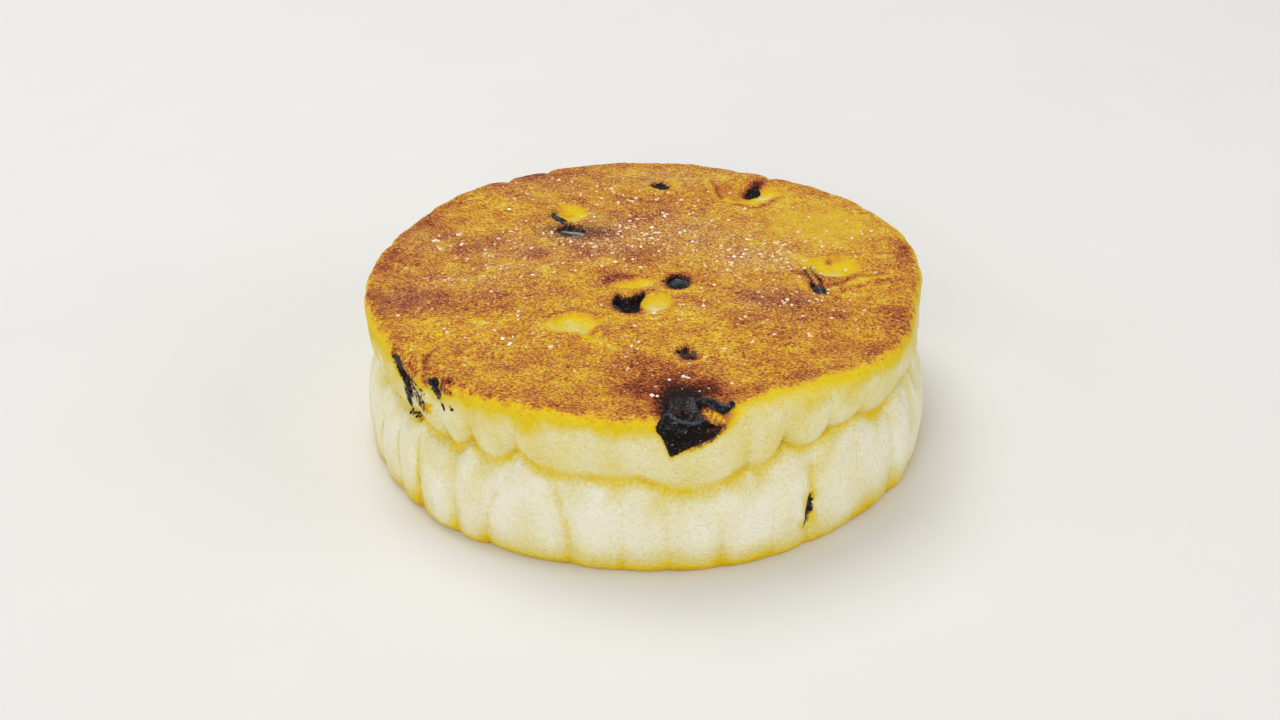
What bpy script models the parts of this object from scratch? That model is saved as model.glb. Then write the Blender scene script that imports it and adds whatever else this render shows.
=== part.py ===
"""Welsh cake: a griddle cake cut with a fluted cutter, with currants showing in its crust and its side.

Run it with: blender --background --python part.py

Sizes are in millimetres and each mesh is scaled to metres as it is made. The origin is the middle of the flat
underside, +Z is up and the front of the cake faces -Y. A bearing is in degrees round the cake: 0 at the front,
90 at +X, 180 at the back. The side is in two tiers: pillow-shaped lobes below and above a scalloped crease,
which opened where the dough rose on the griddle.
"""

import math

import bmesh
import bpy
import numpy as np
from mathutils import Matrix, Vector, noise

MM = 0.001

# Driving dimensions of the cake
CAKE_HEIGHT = 18.4
FOOT_ROUND = 1.5
FOOT_ROUND_RISE = 1.0
FOOT_TUCK = 0.3
BELLY_RADIUS = 33.2
BELLY_HEIGHT = 3.8
WAIST_FRONT_RADIUS = 31.5
WAIST_SIDE_RADIUS = 30.3
SHOULDER_RADIUS = 32.2
RIM_RADIUS = 32.4
RIM_ROUND = 1.4
FLUTE_PITCH = 8.9
FRONT_BEARING = 66.0

# Grooves between the lower lobes: bearing at the crease and at the foot, depth at the crease and at the foot
LOWER_GROOVES = (
    (-65.7, -65.7, 0.35, 0.50),
    (-58.5, -57.5, 0.40, 0.55),
    (-51.3, -50.4, 0.40, 0.60),
    (-39.0, -39.6, 0.30, 0.50),
    (-26.5, -31.2, 0.30, 0.50),
    (-18.3, -14.1, 0.25, 0.40),
    (-4.8, -4.2, 0.10, 0.18),
    (4.5, 4.5, 0.15, 0.28),
    (13.3, 13.3, 0.15, 0.28),
    (23.3, 23.3, 0.10, 0.15),
    (34.0, 32.2, 0.40, 0.35),
    (47.0, 47.0, 0.20, 0.40),
    (60.1, 60.1, 0.30, 0.50),
)
# Grooves between the upper lobes: bearing at the rim and at the crease, depth at the rim and at the crease,
# height of the crease there, and how far the next lobe hangs below that
UPPER_GROOVES = (
    (-59.4, -50.6, 0.60, 0.80, 11.4, 0.9),
    (-46.4, -42.3, 0.50, 0.70, 10.5, 1.0),
    (-35.2, -35.6, 0.15, 0.50, 11.9, 1.6),
    (-24.8, -25.2, 0.10, 0.45, 12.3, 0.8),
    (-10.9, -10.9, 0.00, 0.12, 10.9, 0.2),
    (-1.2, -1.2, 0.00, 0.15, 11.1, 1.9),
    (18.6, 19.1, 0.10, 0.40, 11.4, 1.3),
    (26.3, 26.6, 0.15, 0.50, 13.2, 1.2),
    (36.7, 37.2, 0.20, 0.45, 12.5, 0.3),
    (45.9, 45.9, 0.15, 0.30, 12.6, 1.4),
    (61.8, 61.8, 0.15, 0.40, 12.2, 1.0),
    (123.0, 123.0, 0.50, 0.50, 11.8, 1.2),
    (149.0, 149.0, 0.75, 0.60, 12.2, 1.0),
    (157.0, 157.0, 0.30, 0.40, 11.6, 1.3),
    (176.0, 176.0, 0.20, 0.35, 11.9, 1.1),
    (-156.0, -156.0, 0.70, 0.60, 11.5, 1.2),
    (-145.0, -145.0, 1.10, 0.80, 12.0, 0.9),
    (-104.5, -104.5, 0.70, 0.60, 11.7, 1.2),
)
CREST_POWER = 2.8
TURN_IN_POWER = 2.4
SHOULDER_SHARE = 0.65
HIDDEN_SEED = 7

# The cake is out of round: bearing, change of radius and half width of each swell
RIM_SWELLS = (
    (78.0, -1.15, 13.0),
    (118.0, 1.15, 24.0),
    (180.0, 0.50, 34.0),
    (-135.0, 0.30, 8.0),
    (-116.0, -0.40, 8.0),
    (-78.0, -0.30, 8.0),
)
BELLY_SWELLS = (
    (-90.0, -0.30, 26.0),
    (-40.0, 0.45, 11.0),
    (18.0, 0.42, 14.0),
    (60.0, 0.30, 5.0),
    (90.0, -0.15, 20.0),
)

# Hollows in the crust that hold no currant: x, y, half length, half width, turn and depth
DENTS = (
    (1.2, -7.6, 1.8, 1.7, 0.0, 0.75),
    (-1.4, -3.6, 2.3, 1.2, 10.0, 0.40),
    (12.8, 22.4, 4.9, 2.9, 0.0, 1.10),
    (-8.2, 16.4, 1.9, 2.0, 0.0, 0.80),
    (22.8, 1.8, 3.0, 2.4, 0.0, 0.90),
    (-7.8, -12.0, 3.1, 2.2, 0.0, 0.75),
    (-5.2, -14.2, 1.4, 1.0, 0.0, 0.35),
)
# Creases in the crust: the points of each, its half width and its depth
FOLDS = (
    (((-22.3, -14.9), (-23.1, -17.1), (-23.2, -20.0), (-23.3, -23.2)), 0.55, 0.50),
    (((25.4, -3.2), (23.6, -5.2), (21.6, -7.0)), 0.55, 0.35),
)

# Currants in the crust: x, y, half length, half width, half depth, turn, and depth of the skin below the crust
TOP_CURRANTS = {
    "currant_centre_front": (-2.1, -7.1, 2.7, 2.2, 1.9, 62.0, 0.60),
    "currant_centre_back": (3.6, -2.3, 2.1, 2.3, 1.7, 0.0, 0.70),
    "currant_near_raisin": (4.2, -18.6, 1.6, 1.4, 1.3, 0.0, 0.45),
    "currant_back": (1.9, 24.9, 1.7, 1.3, 1.3, 0.0, 0.45),
    "currant_back_hollow": (13.8, 23.0, 1.3, 1.6, 1.3, -20.0, 1.15),
    "currant_left_back": (-10.7, 15.1, 2.6, 1.1, 1.3, -59.0, 0.50),
    "currant_under_skin": (-8.7, 10.9, 3.2, 1.4, 1.2, -17.0, 0.15),
    "currant_right": (19.5, -2.0, 2.6, 1.1, 1.3, -75.0, 0.50),
}
# Currants in the side: bearing, height, half length, half width, half depth, lean to the left of upright, and
# depth of the skin below the dough
SIDE_CURRANTS = {
    "currant_left_fold": (-54.6, 14.2, 4.3, 1.2, 1.5, 39.0, 0.15),
    "currant_left_rim": (-43.3, 16.2, 2.5, 1.1, 1.4, 36.0, 0.15),
    "currant_right_slit": (31.5, 4.5, 2.2, 0.9, 1.3, -10.0, 0.10),
    "currant_rear_right": (152.0, 14.6, 2.3, 1.3, 1.4, 20.0, 0.15),
    "currant_rear_left": (-118.0, 5.6, 2.6, 1.0, 1.3, -14.0, 0.10),
}
POCKET_GAP = 0.36
POCKET_SWELL = 1.07
FINE_CURRANT = 2.0
PIT_SHARE = 0.98
PIT_FLOOR_SHARE = 0.42
WRINKLE_DEPTH = 0.16
WRINKLE_SCALE = 1.7

# The large raisin lies over the front rim. Its outline is in arc along the rim and distance down over it, from
# the middle of the rounding; the arm is a curl of its skin on the rim: arc, distance, height and radius
RAISIN_CENTRE = (4.2, 0.5)
RAISIN_OUTLINE = (
    (2.7, 4.3), (1.7, 2.2), (0.8, 0.6), (1.9, -0.7), (2.0, -2.8), (3.3, -4.6),
    (5.0, -4.2), (6.0, -2.0), (5.9, -0.4), (6.3, 0.7), (8.1, 1.2), (5.6, 2.6),
)
RAISIN_PROUD = 0.45
RAISIN_DEEP = 2.4
RAISIN_ARM = (
    (4.8, -2.6, -0.10, 0.95), (6.3, -2.8, 0.10, 0.78), (7.3, -2.0, 0.15, 0.66),
    (8.0, -1.1, 0.15, 0.56), (8.8, -1.1, 0.15, 0.54), (9.3, -1.9, 0.05, 0.60),
)

# Mesh densities: cells across the crust, and rows up each part of the side
CRUST_CELLS = 72
FOOT_ROWS = 5
LOWER_ROWS = 14
UPPER_ROWS = 13
RIM_ROWS = 6
KEPT_FACES = 0.215
RAISIN_CELLS = 10
ARM_SIDES = 8

DOUGH_COLOUR = (0.80, 0.66, 0.34, 1.0)
CURRANT_COLOUR = (0.020, 0.013, 0.011, 1.0)


def clear_scene():
    for old in list(bpy.data.objects):
        bpy.data.objects.remove(old, do_unlink=True)


def principled(name, colour, roughness):
    material = bpy.data.materials.new(name)
    material.use_nodes = True
    shader = material.node_tree.nodes["Principled BSDF"]
    shader.inputs["Base Color"].default_value = colour
    shader.inputs["Roughness"].default_value = roughness
    shader.inputs["Metallic"].default_value = 0.0
    return material


def smooth_step(low, high, value):
    """0 below low, 1 above high, and a smooth S between them."""
    share = np.clip((value - low) / (high - low), 0.0, 1.0)
    return share * share * (3.0 - 2.0 * share)


def with_hidden_grooves(known, draw_rest):
    """The known grooves in order round the cake, with more of them, one pitch apart, where none was seen."""
    known = sorted(known)
    following = known[1:] + [known[0]]
    grooves = []
    for here, there in zip(known, following):
        grooves.append(here)
        gap = (there[0] - here[0]) % 360.0
        hidden = abs(here[0] + gap / 2.0) > FRONT_BEARING
        count = round(gap / FLUTE_PITCH) - 1 if hidden else 0
        for step in range(1, count + 1):
            bearing = here[0] + gap * step / (count + 1)
            grooves.append(draw_rest(bearing))
    return np.array(sorted(grooves))


def hidden_lower(bearing):
    bearing = (bearing + RNG.uniform(-1.4, 1.4) + 180.0) % 360.0 - 180.0
    return (bearing, bearing + RNG.uniform(-1.0, 1.0), RNG.uniform(0.15, 0.4), RNG.uniform(0.3, 0.6))


def hidden_upper(bearing):
    bearing = (bearing + RNG.uniform(-1.4, 1.4) + 180.0) % 360.0 - 180.0
    depths = (RNG.uniform(0.05, 0.25), RNG.uniform(0.3, 0.6))
    return (bearing, bearing + RNG.uniform(-1.0, 1.0), *depths, RNG.uniform(11.2, 12.6), RNG.uniform(0.5, 1.6))


RNG = np.random.default_rng(HIDDEN_SEED)
LOWER = with_hidden_grooves(LOWER_GROOVES, hidden_lower)
UPPER = with_hidden_grooves(UPPER_GROOVES, hidden_upper)


def lobe_phase(bearing, groove_bearings):
    """Which lobe a bearing is in, as a number that rises by 1 from each groove to the next."""
    count = len(groove_bearings)
    around = np.concatenate([groove_bearings[-2:] - 360.0, groove_bearings, groove_bearings[:2] + 360.0])
    return np.interp(bearing, around, np.arange(-2, count + 2))


def groove_share(phase):
    """1 in a groove, falling to 0 on the crest of each lobe."""
    return np.abs(2.0 * (phase - np.floor(phase)) - 1.0) ** CREST_POWER


def at_groove(values, phase):
    """The value of the groove nearest to this phase."""
    return values[np.round(phase).astype(int) % len(values)]


def crease_height(bearing):
    """Height of the crease: it runs from groove to groove, and sags under the lobe between them."""
    phase = lobe_phase(bearing, UPPER[:, 1])
    lobe = np.floor(phase).astype(int)
    share = phase - lobe
    here, there = UPPER[lobe % len(UPPER)], UPPER[(lobe + 1) % len(UPPER)]
    line = here[..., 4] * (1.0 - share) + there[..., 4] * share
    return line - here[..., 5] * (1.0 - (2.0 * share - 1.0) ** 2)


def out_of_round(bearing, swells):
    """How far a list of swells moves the side out at a bearing."""
    swell = np.zeros_like(bearing)
    for middle, change, half_width in swells:
        away = (bearing - middle + 180.0) % 360.0 - 180.0
        swell += change * np.exp(-((away / half_width) ** 2))
    return swell


def waist_radius(bearing):
    """Radius in the crease: it is deeper at the two sides of the cake than at the front and the back."""
    return WAIST_FRONT_RADIUS + (WAIST_SIDE_RADIUS - WAIST_FRONT_RADIUS) * np.sin(np.radians(bearing)) ** 2


def lower_radius(bearing, height, crease):
    """Radius of the lower tier: round at the foot, full at the belly, and turned in to the crease."""
    up = np.clip((height - BELLY_HEIGHT) / (crease - BELLY_HEIGHT), 0.0, 1.0)
    down = np.clip((BELLY_HEIGHT - height) / BELLY_HEIGHT, 0.0, 1.0)
    belly = BELLY_RADIUS + out_of_round(bearing, BELLY_SWELLS)
    radius = belly - (belly - waist_radius(bearing)) * up**TURN_IN_POWER - FOOT_TUCK * down**2
    drop = np.clip((FOOT_ROUND_RISE - height) / FOOT_ROUND, 0.0, 1.0)
    radius -= FOOT_ROUND * (1.0 - np.sqrt(1.0 - drop**2))
    share = np.clip(height / crease, 0.0, 1.0)
    phase = (1.0 - share) * lobe_phase(bearing, LOWER[:, 1]) + share * lobe_phase(bearing, LOWER[:, 0])
    depth = (1.0 - share) * at_groove(LOWER[:, 3], phase) + share * at_groove(LOWER[:, 2], phase)
    return radius - depth * groove_share(phase)


def upper_radius(bearing, height, crease):
    """Radius of the upper tier: each lobe rounds out of the crease and runs up to the rim."""
    top = CAKE_HEIGHT - RIM_ROUND
    share = np.clip((height - crease) / (top - crease), 0.0, 1.0)
    out = 1.0 - (1.0 - np.clip(share / SHOULDER_SHARE, 0.0, 1.0)) ** TURN_IN_POWER
    waist = waist_radius(bearing)
    radius = waist + (SHOULDER_RADIUS - waist) * out
    radius += (RIM_RADIUS - SHOULDER_RADIUS + out_of_round(bearing, RIM_SWELLS)) * smooth_step(0.1, 1.0, share)
    phase = (1.0 - share) * lobe_phase(bearing, UPPER[:, 1]) + share * lobe_phase(bearing, UPPER[:, 0])
    depth = (1.0 - share) * at_groove(UPPER[:, 3], phase) + share * at_groove(UPPER[:, 2], phase)
    return radius - depth * groove_share(phase)


def side_radius(bearing, height):
    """Radius of the side at a bearing and a height, up to where the rim starts to round over."""
    crease = crease_height(bearing)
    below = lower_radius(bearing, height, crease)
    above = upper_radius(bearing, height, crease)
    return np.where(height < crease, below, above)


def hollow(x, y, half_length, half_width, turn):
    """1 on the floor of an oval hollow, falling to 0 just outside its edge."""
    angle = math.radians(turn)
    along = (x * math.cos(angle) + y * math.sin(angle)) / half_length
    across = (y * math.cos(angle) - x * math.sin(angle)) / half_width
    return 1.0 - smooth_step(0.45, 1.15, np.hypot(along, across))


def fold_distance(x, y, points):
    """Distance from a crease in the crust, taken as straight runs between its points."""
    nearest = np.full_like(x, 1e9)
    for (x0, y0), (x1, y1) in zip(points, points[1:]):
        length = math.hypot(x1 - x0, y1 - y0)
        share = np.clip(((x - x0) * (x1 - x0) + (y - y0) * (y1 - y0)) / length**2, 0.0, 1.0)
        nearest = np.minimum(nearest, np.hypot(x - x0 - share * (x1 - x0), y - y0 - share * (y1 - y0)))
    return nearest


def crust_height(x, y):
    """Height of the crust: nearly flat, with its dents, creases and the pits round the currants."""
    height = CAKE_HEIGHT - 0.12 * np.sin(x / 9.0 + 0.8) * np.sin(y / 11.0 - 0.4)
    for middle_x, middle_y, half_length, half_width, turn, depth in DENTS:
        height -= depth * hollow(x - middle_x, y - middle_y, half_length, half_width, turn)
    for middle_x, middle_y, half_length, half_width, half_depth, turn, sunk in TOP_CURRANTS.values():
        floor = sunk + half_depth * PIT_FLOOR_SHARE
        sides = (half_length * PIT_SHARE, half_width * PIT_SHARE, turn)
        pit = floor * hollow(x - middle_x, y - middle_y, *sides)
        height = np.minimum(height, CAKE_HEIGHT - pit)
    for points, half_width, depth in FOLDS:
        height -= depth * np.exp(-((fold_distance(x, y, points) / half_width) ** 2))
    return height


def disc_grid(cells):
    """A square grid bent into a disc, so that its square rings become circles.

    Returns each point's share of the radius and its bearing, the grid's squares as faces, and the points of the
    outermost ring in order of bearing. A point's share is how far out its square ring is, and its bearing is its
    place along that ring.
    """
    line = np.linspace(-1.0, 1.0, cells + 1)
    across, away = np.meshgrid(line, line)
    across, away = across.ravel(), away.ravel()
    share = np.maximum(np.abs(across), np.abs(away))
    sideways = np.abs(across) >= np.abs(away)
    main = np.where(sideways, across, away)
    slope = np.where(sideways, away, -across) / np.where(main == 0.0, 1.0, main)
    quarter = np.where(sideways, np.where(across >= 0.0, 0.0, 180.0), np.where(away > 0.0, 90.0, 270.0))
    bearing = (quarter + 45.0 * slope + 90.0 + 180.0) % 360.0 - 180.0
    row, column = np.meshgrid(np.arange(cells), np.arange(cells), indexing="ij")
    corner = (row * (cells + 1) + column).ravel()
    faces = np.stack([corner, corner + 1, corner + cells + 2, corner + cells + 1], axis=1)
    edge = np.nonzero(share > 1.0 - 0.5 / cells)[0]
    return share, bearing, faces, edge[np.argsort(bearing[edge])]


def mesh_object(name, points, faces, material):
    mesh = bpy.data.meshes.new(name)
    mesh.from_pydata((np.asarray(points) * MM).tolist(), [], faces)
    mesh.materials.append(material)
    mesh.shade_smooth()
    item = bpy.data.objects.new(name, mesh)
    bpy.context.scene.collection.objects.link(item)
    return item


def cake_side(bearing):
    """Rows of points up the side, from under the foot to the start of the flat crust."""
    crease = crease_height(bearing)[None, :]
    foot = np.linspace(FOOT_ROUND_RISE - FOOT_ROUND, FOOT_ROUND_RISE, FOOT_ROWS)[:, None] + 0.0 * crease
    lower = np.linspace(0.0, 1.0, LOWER_ROWS + 1)[1:, None]
    upper = np.linspace(0.0, 1.0, UPPER_ROWS + 1)[1:, None] ** 1.25
    top = CAKE_HEIGHT - RIM_ROUND
    heights = np.concatenate([
        foot,
        FOOT_ROUND_RISE + (crease - FOOT_ROUND_RISE) * (1.0 - (1.0 - lower) ** 1.25),
        crease + (top - crease) * upper,
    ])
    around = np.broadcast_to(bearing, heights.shape)
    radii = side_radius(around, heights)
    turn = np.linspace(0.0, math.pi / 2.0, RIM_ROWS + 1)[1:-1, None]
    rim_radii = radii[-1:] - RIM_ROUND * (1.0 - np.cos(turn))
    rim_heights = top + RIM_ROUND * np.sin(turn) + 0.0 * crease
    return np.concatenate([radii, rim_radii]), np.concatenate([heights, rim_heights]), radii[-1] - RIM_ROUND


def around_point(radius, bearing, height):
    angle = np.radians(bearing)
    return np.stack([radius * np.sin(angle), -radius * np.cos(angle), height + 0.0 * radius], axis=-1)


def make_cake(material):
    """The whole cake as one closed skin: a disc of crust, the side in rows below it, and the underside."""
    share, bearing, crust_faces, ring = disc_grid(CRUST_CELLS)
    radii, heights, edge_radius = cake_side(bearing[ring])
    flat_radius = share * np.interp(bearing, bearing[ring], edge_radius, period=360.0)
    crust = around_point(flat_radius, bearing, 0.0 * flat_radius)
    crust[:, 2] = crust_height(crust[:, 0], crust[:, 1])
    rim_drop = crust[ring, 2] - CAKE_HEIGHT
    follow = smooth_step(CAKE_HEIGHT - 3.0 * RIM_ROUND, CAKE_HEIGHT, heights)
    side = around_point(radii, np.broadcast_to(bearing[ring], radii.shape), heights + follow * rim_drop)
    rows, columns = radii.shape
    below = len(crust) + np.arange(rows * columns).reshape(rows, columns)
    ladder = np.vstack([below, ring])
    left, right = ladder, np.roll(ladder, -1, axis=1)
    side_faces = np.stack([left[:-1], right[:-1], right[1:], left[1:]], axis=-1).reshape(-1, 4)
    faces = crust_faces.tolist() + side_faces.tolist() + [below[0][::-1].tolist()]
    cake = mesh_object("cake", np.vstack([crust, side.reshape(-1, 3)]), faces, material)
    thin = cake.modifiers.new("Fewer faces where the dough is plain", "DECIMATE")
    thin.ratio = KEPT_FACES
    return cake


def on_rim(arc, down, height):
    """A point over the rim: arc along it, distance down over its rounding, and height off the skin."""
    arc, down, height = (np.asarray(value, dtype=float) for value in (arc, down, height))
    bearing = np.degrees(arc / RIM_RADIUS)
    edge = side_radius(bearing, np.full_like(bearing, CAKE_HEIGHT - RIM_ROUND)) - RIM_ROUND
    turn = np.clip(math.pi / 4.0 - down / RIM_ROUND, 0.0, math.pi / 2.0)
    inward = np.maximum(-down - RIM_ROUND * math.pi / 4.0, 0.0)
    lower = np.maximum(down - RIM_ROUND * math.pi / 4.0, 0.0)
    radius = edge - inward + (RIM_ROUND + height) * np.cos(turn)
    level = CAKE_HEIGHT - RIM_ROUND - lower + (RIM_ROUND + height) * np.sin(turn)
    return around_point(radius, bearing, level)


def ring_points(outline, count, grow):
    """Points spread evenly round a closed outline, moved out from its middle by grow."""
    corners = np.array(outline + outline[:1], dtype=float)
    runs = np.concatenate([[0.0], np.cumsum(np.hypot(*np.diff(corners, axis=0).T))])
    places = np.linspace(0.0, runs[-1], count, endpoint=False)
    points = np.stack([np.interp(places, runs, corners[:, 0]), np.interp(places, runs, corners[:, 1])], axis=1)
    out = points - np.array(RAISIN_CENTRE)
    return points + grow * out / np.hypot(out[:, 0], out[:, 1])[:, None]


def raisin_cushion(name, material, grow, proud, deep):
    """A cushion with the raisin's outline, bent over the rim: skin and back are two discs that share an edge."""
    share, bearing, faces, ring = disc_grid(RAISIN_CELLS)
    edge = ring_points(RAISIN_OUTLINE, len(ring), grow)
    places = (np.arange(len(ring)) + 0.0) / len(ring) * 360.0 + bearing[ring][0]
    flat = [
        RAISIN_CENTRE[axis] + share * (np.interp(bearing, places, edge[::-1, axis], period=360.0) - RAISIN_CENTRE[axis])
        for axis in (0, 1)
    ]
    ridge = 0.0 if grow else 0.35 * np.cos(1.9 * flat[0]) * np.cos(1.6 * flat[1] + 0.6 * flat[0])
    middle = math.degrees(RAISIN_CENTRE[0] / RIM_RADIUS)
    out = around_point(np.array([1.0]), np.array([middle]), 1.0) * math.sqrt(0.5)
    rim = on_rim(flat[0], flat[1], 0.0)
    skin = rim + out * ((proud + ridge) * (1.0 - share**4))[:, None]
    back = rim - out * (deep * np.sqrt(1.0 - share**2))[:, None]
    inner = np.setdiff1d(np.arange(len(share)), ring)
    renumber = np.arange(len(share))
    renumber[inner] = len(share) + np.arange(len(inner))
    back_faces = renumber[faces][:, ::-1]
    return mesh_object(name, np.vstack([skin, back[inner]]), faces.tolist() + back_faces.tolist(), material)


def raisin_arm(name, material, grow):
    """The curl of skin: rings carried along a smooth line through the arm's points, closed at both ends."""
    route = np.array(RAISIN_ARM)
    places = np.linspace(0.0, len(route) - 1.0, 4 * len(route))
    curve = [np.interp(places, np.arange(len(route)), route[:, column]) for column in range(4)]
    middle = on_rim(curve[0], curve[1], curve[2])
    radius = curve[3] + grow
    along = np.gradient(middle, axis=0)
    along /= np.linalg.norm(along, axis=1)[:, None]
    side = np.cross(along, np.array([0.0, -0.6, 0.8]))
    side /= np.linalg.norm(side, axis=1)[:, None]
    up = np.cross(side, along)
    turn = np.linspace(0.0, 2.0 * math.pi, ARM_SIDES, endpoint=False)
    around = np.cos(turn)[None, :, None] * side[:, None] + np.sin(turn)[None, :, None] * up[:, None]
    rings = middle[:, None] + radius[:, None, None] * around
    ends = np.stack([middle[0] - 0.7 * radius[0] * along[0], middle[-1] + 0.7 * radius[-1] * along[-1]])
    index = np.arange(rings.shape[0] * ARM_SIDES).reshape(-1, ARM_SIDES)
    following = np.roll(index, -1, axis=1)
    faces = np.stack([index[:-1], index[1:], following[1:], following[:-1]], axis=-1).reshape(-1, 4).tolist()
    first, last = index.size, index.size + 1
    faces += [[first, a, b] for a, b in zip(index[0], following[0])]
    faces += [[last, b, a] for a, b in zip(index[-1], following[-1])]
    return mesh_object(name, np.vstack([rings.reshape(-1, 3), ends]), faces, material)


def face_out(item):
    """Turns every face of a closed mesh to point outwards."""
    bm = bmesh.new()
    bm.from_mesh(item.data)
    bmesh.ops.recalc_face_normals(bm, faces=bm.faces)
    bm.to_mesh(item.data)
    bm.free()


def as_cutter(item):
    item.hide_render = True
    item.display_type = "WIRE"
    return item


def boolean(item, name, operation, tools):
    """One exact Boolean of an object with a collection of tools."""
    collection = bpy.data.collections.new(name)
    bpy.context.scene.collection.children.link(collection)
    for tool in tools:
        bpy.context.scene.collection.objects.unlink(tool)
        collection.objects.link(tool)
        as_cutter(tool)
    modifier = item.modifiers.new(name, "BOOLEAN")
    modifier.operation = operation
    modifier.solver = "EXACT"
    modifier.operand_type = "COLLECTION"
    modifier.collection = collection


def make_raisin(material):
    """The large raisin on the front rim, with its arm joined on, and the tools that cut its seat."""
    raisin = raisin_cushion("raisin_front_rim", material, 0.0, RAISIN_PROUD, RAISIN_DEEP)
    arm = raisin_arm("raisin arm", material, 0.0)
    seat = raisin_cushion("raisin seat", material, POCKET_GAP, 3.0, RAISIN_DEEP + POCKET_GAP)
    arm_seat = raisin_arm("raisin arm seat", material, POCKET_GAP)
    for item in (raisin, arm, seat, arm_seat):
        face_out(item)
    boolean(raisin, "Arm of the raisin", "UNION", [arm])
    return [seat, arm_seat]


def currant_place(name):
    """Where a currant lies and how it is turned: its own Z points out of the dough."""
    if name in TOP_CURRANTS:
        x, y, half_length, half_width, half_depth, turn, sunk = TOP_CURRANTS[name]
        level = CAKE_HEIGHT - sunk - half_depth
        place = Matrix.Translation(Vector((x, y, level)) * MM) @ Matrix.Rotation(math.radians(turn), 4, "Z")
    else:
        bearing, height, half_length, half_width, half_depth, lean, sunk = SIDE_CURRANTS[name]
        radius = float(side_radius(np.array([bearing]), np.array([height]))[0]) - sunk - half_depth
        middle = around_point(np.array([radius]), np.array([bearing]), height)[0]
        upright = Matrix.Rotation(math.radians(bearing), 4, "Z") @ Matrix.Rotation(math.radians(90.0), 4, "X")
        place = Matrix.Translation(Vector(middle) * MM) @ upright
        place = place @ Matrix.Rotation(math.radians(90.0 + lean), 4, "Z")
    return place, Vector((half_length, half_width, half_depth))


def make_currant(name, number, material):
    """One currant: an oval ball with wrinkles pressed into it, and the smooth ball that cuts its pocket."""
    place, half_sizes = currant_place(name)
    made = []
    for label, grow, wrinkled in ((name, 0.0, True), (name + " pocket", POCKET_GAP, False)):
        bm = bmesh.new()
        fine = wrinkled and half_sizes.x > FINE_CURRANT
        bmesh.ops.create_icosphere(bm, subdivisions=3 if fine else 2, radius=1.0)
        for vertex in bm.verts:
            ball = vertex.co.copy()
            fold = abs(noise.noise(ball * WRINKLE_SCALE + Vector((3.1 * number, 0.0, 0.0)))) if wrinkled else 0.0
            grown = half_sizes if wrinkled else half_sizes * POCKET_SWELL + Vector((grow, grow, grow))
            vertex.co = Vector(a * b for a, b in zip(ball, grown)) * (1.0 - WRINKLE_DEPTH * fold) * MM
        mesh = bpy.data.meshes.new(label)
        bm.to_mesh(mesh)
        bm.free()
        mesh.materials.append(material)
        mesh.shade_smooth()
        item = bpy.data.objects.new(label, mesh)
        item.matrix_world = place
        bpy.context.scene.collection.objects.link(item)
        made.append(item)
    return made[1]


def make_griddle_plane(material):
    """A slab under the cake: it trims the foot flat at z = 0, as the griddle does."""
    bm = bmesh.new()
    bmesh.ops.create_cube(bm, size=1.0)
    for vertex in bm.verts:
        vertex.co = Vector((vertex.co.x * 80.0, vertex.co.y * 80.0, (vertex.co.z - 0.5) * 4.0)) * MM
    mesh = bpy.data.meshes.new("griddle plane")
    bm.to_mesh(mesh)
    bm.free()
    mesh.materials.append(material)
    item = bpy.data.objects.new("griddle plane", mesh)
    bpy.context.scene.collection.objects.link(item)
    return item


def build():
    clear_scene()
    dough = principled("dough", DOUGH_COLOUR, 0.75)
    cake = make_cake(dough)
    tools = [make_griddle_plane(dough)]
    names = list(TOP_CURRANTS) + list(SIDE_CURRANTS)
    for number, name in enumerate(names):
        tools.append(make_currant(name, number, principled(name, CURRANT_COLOUR, 0.45)))
    tools += make_raisin(principled("raisin_front_rim", CURRANT_COLOUR, 0.40))
    boolean(cake, "Seats and flat foot", "DIFFERENCE", tools)


build()
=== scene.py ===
"""A Welsh cake, dressed over its CAD model: browned dough, currants, a large raisin and sugar.

Sizes are in millimetres and each mesh is scaled to metres as it is made. The origin is the middle of the
flat underside, +Z is up and the front of the cake faces -Y. A bearing is in degrees round the cake: 0 at
the front, 90 at +X, 180 at the back.
"""

import math

import bpy
import numpy as np
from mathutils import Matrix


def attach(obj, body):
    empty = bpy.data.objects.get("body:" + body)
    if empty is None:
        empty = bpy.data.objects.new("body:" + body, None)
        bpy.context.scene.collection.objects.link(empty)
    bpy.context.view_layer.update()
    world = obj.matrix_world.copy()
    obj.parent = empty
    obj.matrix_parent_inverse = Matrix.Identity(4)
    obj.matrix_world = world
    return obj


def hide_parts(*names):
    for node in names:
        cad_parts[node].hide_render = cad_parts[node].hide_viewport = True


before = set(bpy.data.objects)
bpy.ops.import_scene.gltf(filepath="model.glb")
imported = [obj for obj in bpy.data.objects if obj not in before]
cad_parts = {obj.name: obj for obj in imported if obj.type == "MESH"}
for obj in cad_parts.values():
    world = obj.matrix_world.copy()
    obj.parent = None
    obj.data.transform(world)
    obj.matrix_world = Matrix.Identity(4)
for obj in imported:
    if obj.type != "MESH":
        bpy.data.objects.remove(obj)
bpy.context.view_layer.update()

# --------------------------------------------------------------------------------------------------
# The cake: a disc of rich currant dough, cut with a fluted cutter and baked on a griddle. Both faces are
# browned where they met the iron, and the side, which never did, stays pale. It split into two tiers along a
# scalloped crease as it rose.

MM = 0.001
CAKE_HEIGHT = 18.4
FOOT_ROUND = 1.5
FOOT_ROUND_RISE = 1.0
FOOT_TUCK = 0.3
BELLY_RADIUS = 33.2
BELLY_HEIGHT = 3.8
WAIST_FRONT_RADIUS = 31.75
WAIST_SIDE_RADIUS = 30.3
SHOULDER_RADIUS = 32.2
SHOULDER_SHARE = 0.65
RIM_RADIUS = 32.4
RIM_ROUND = 1.4
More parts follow.
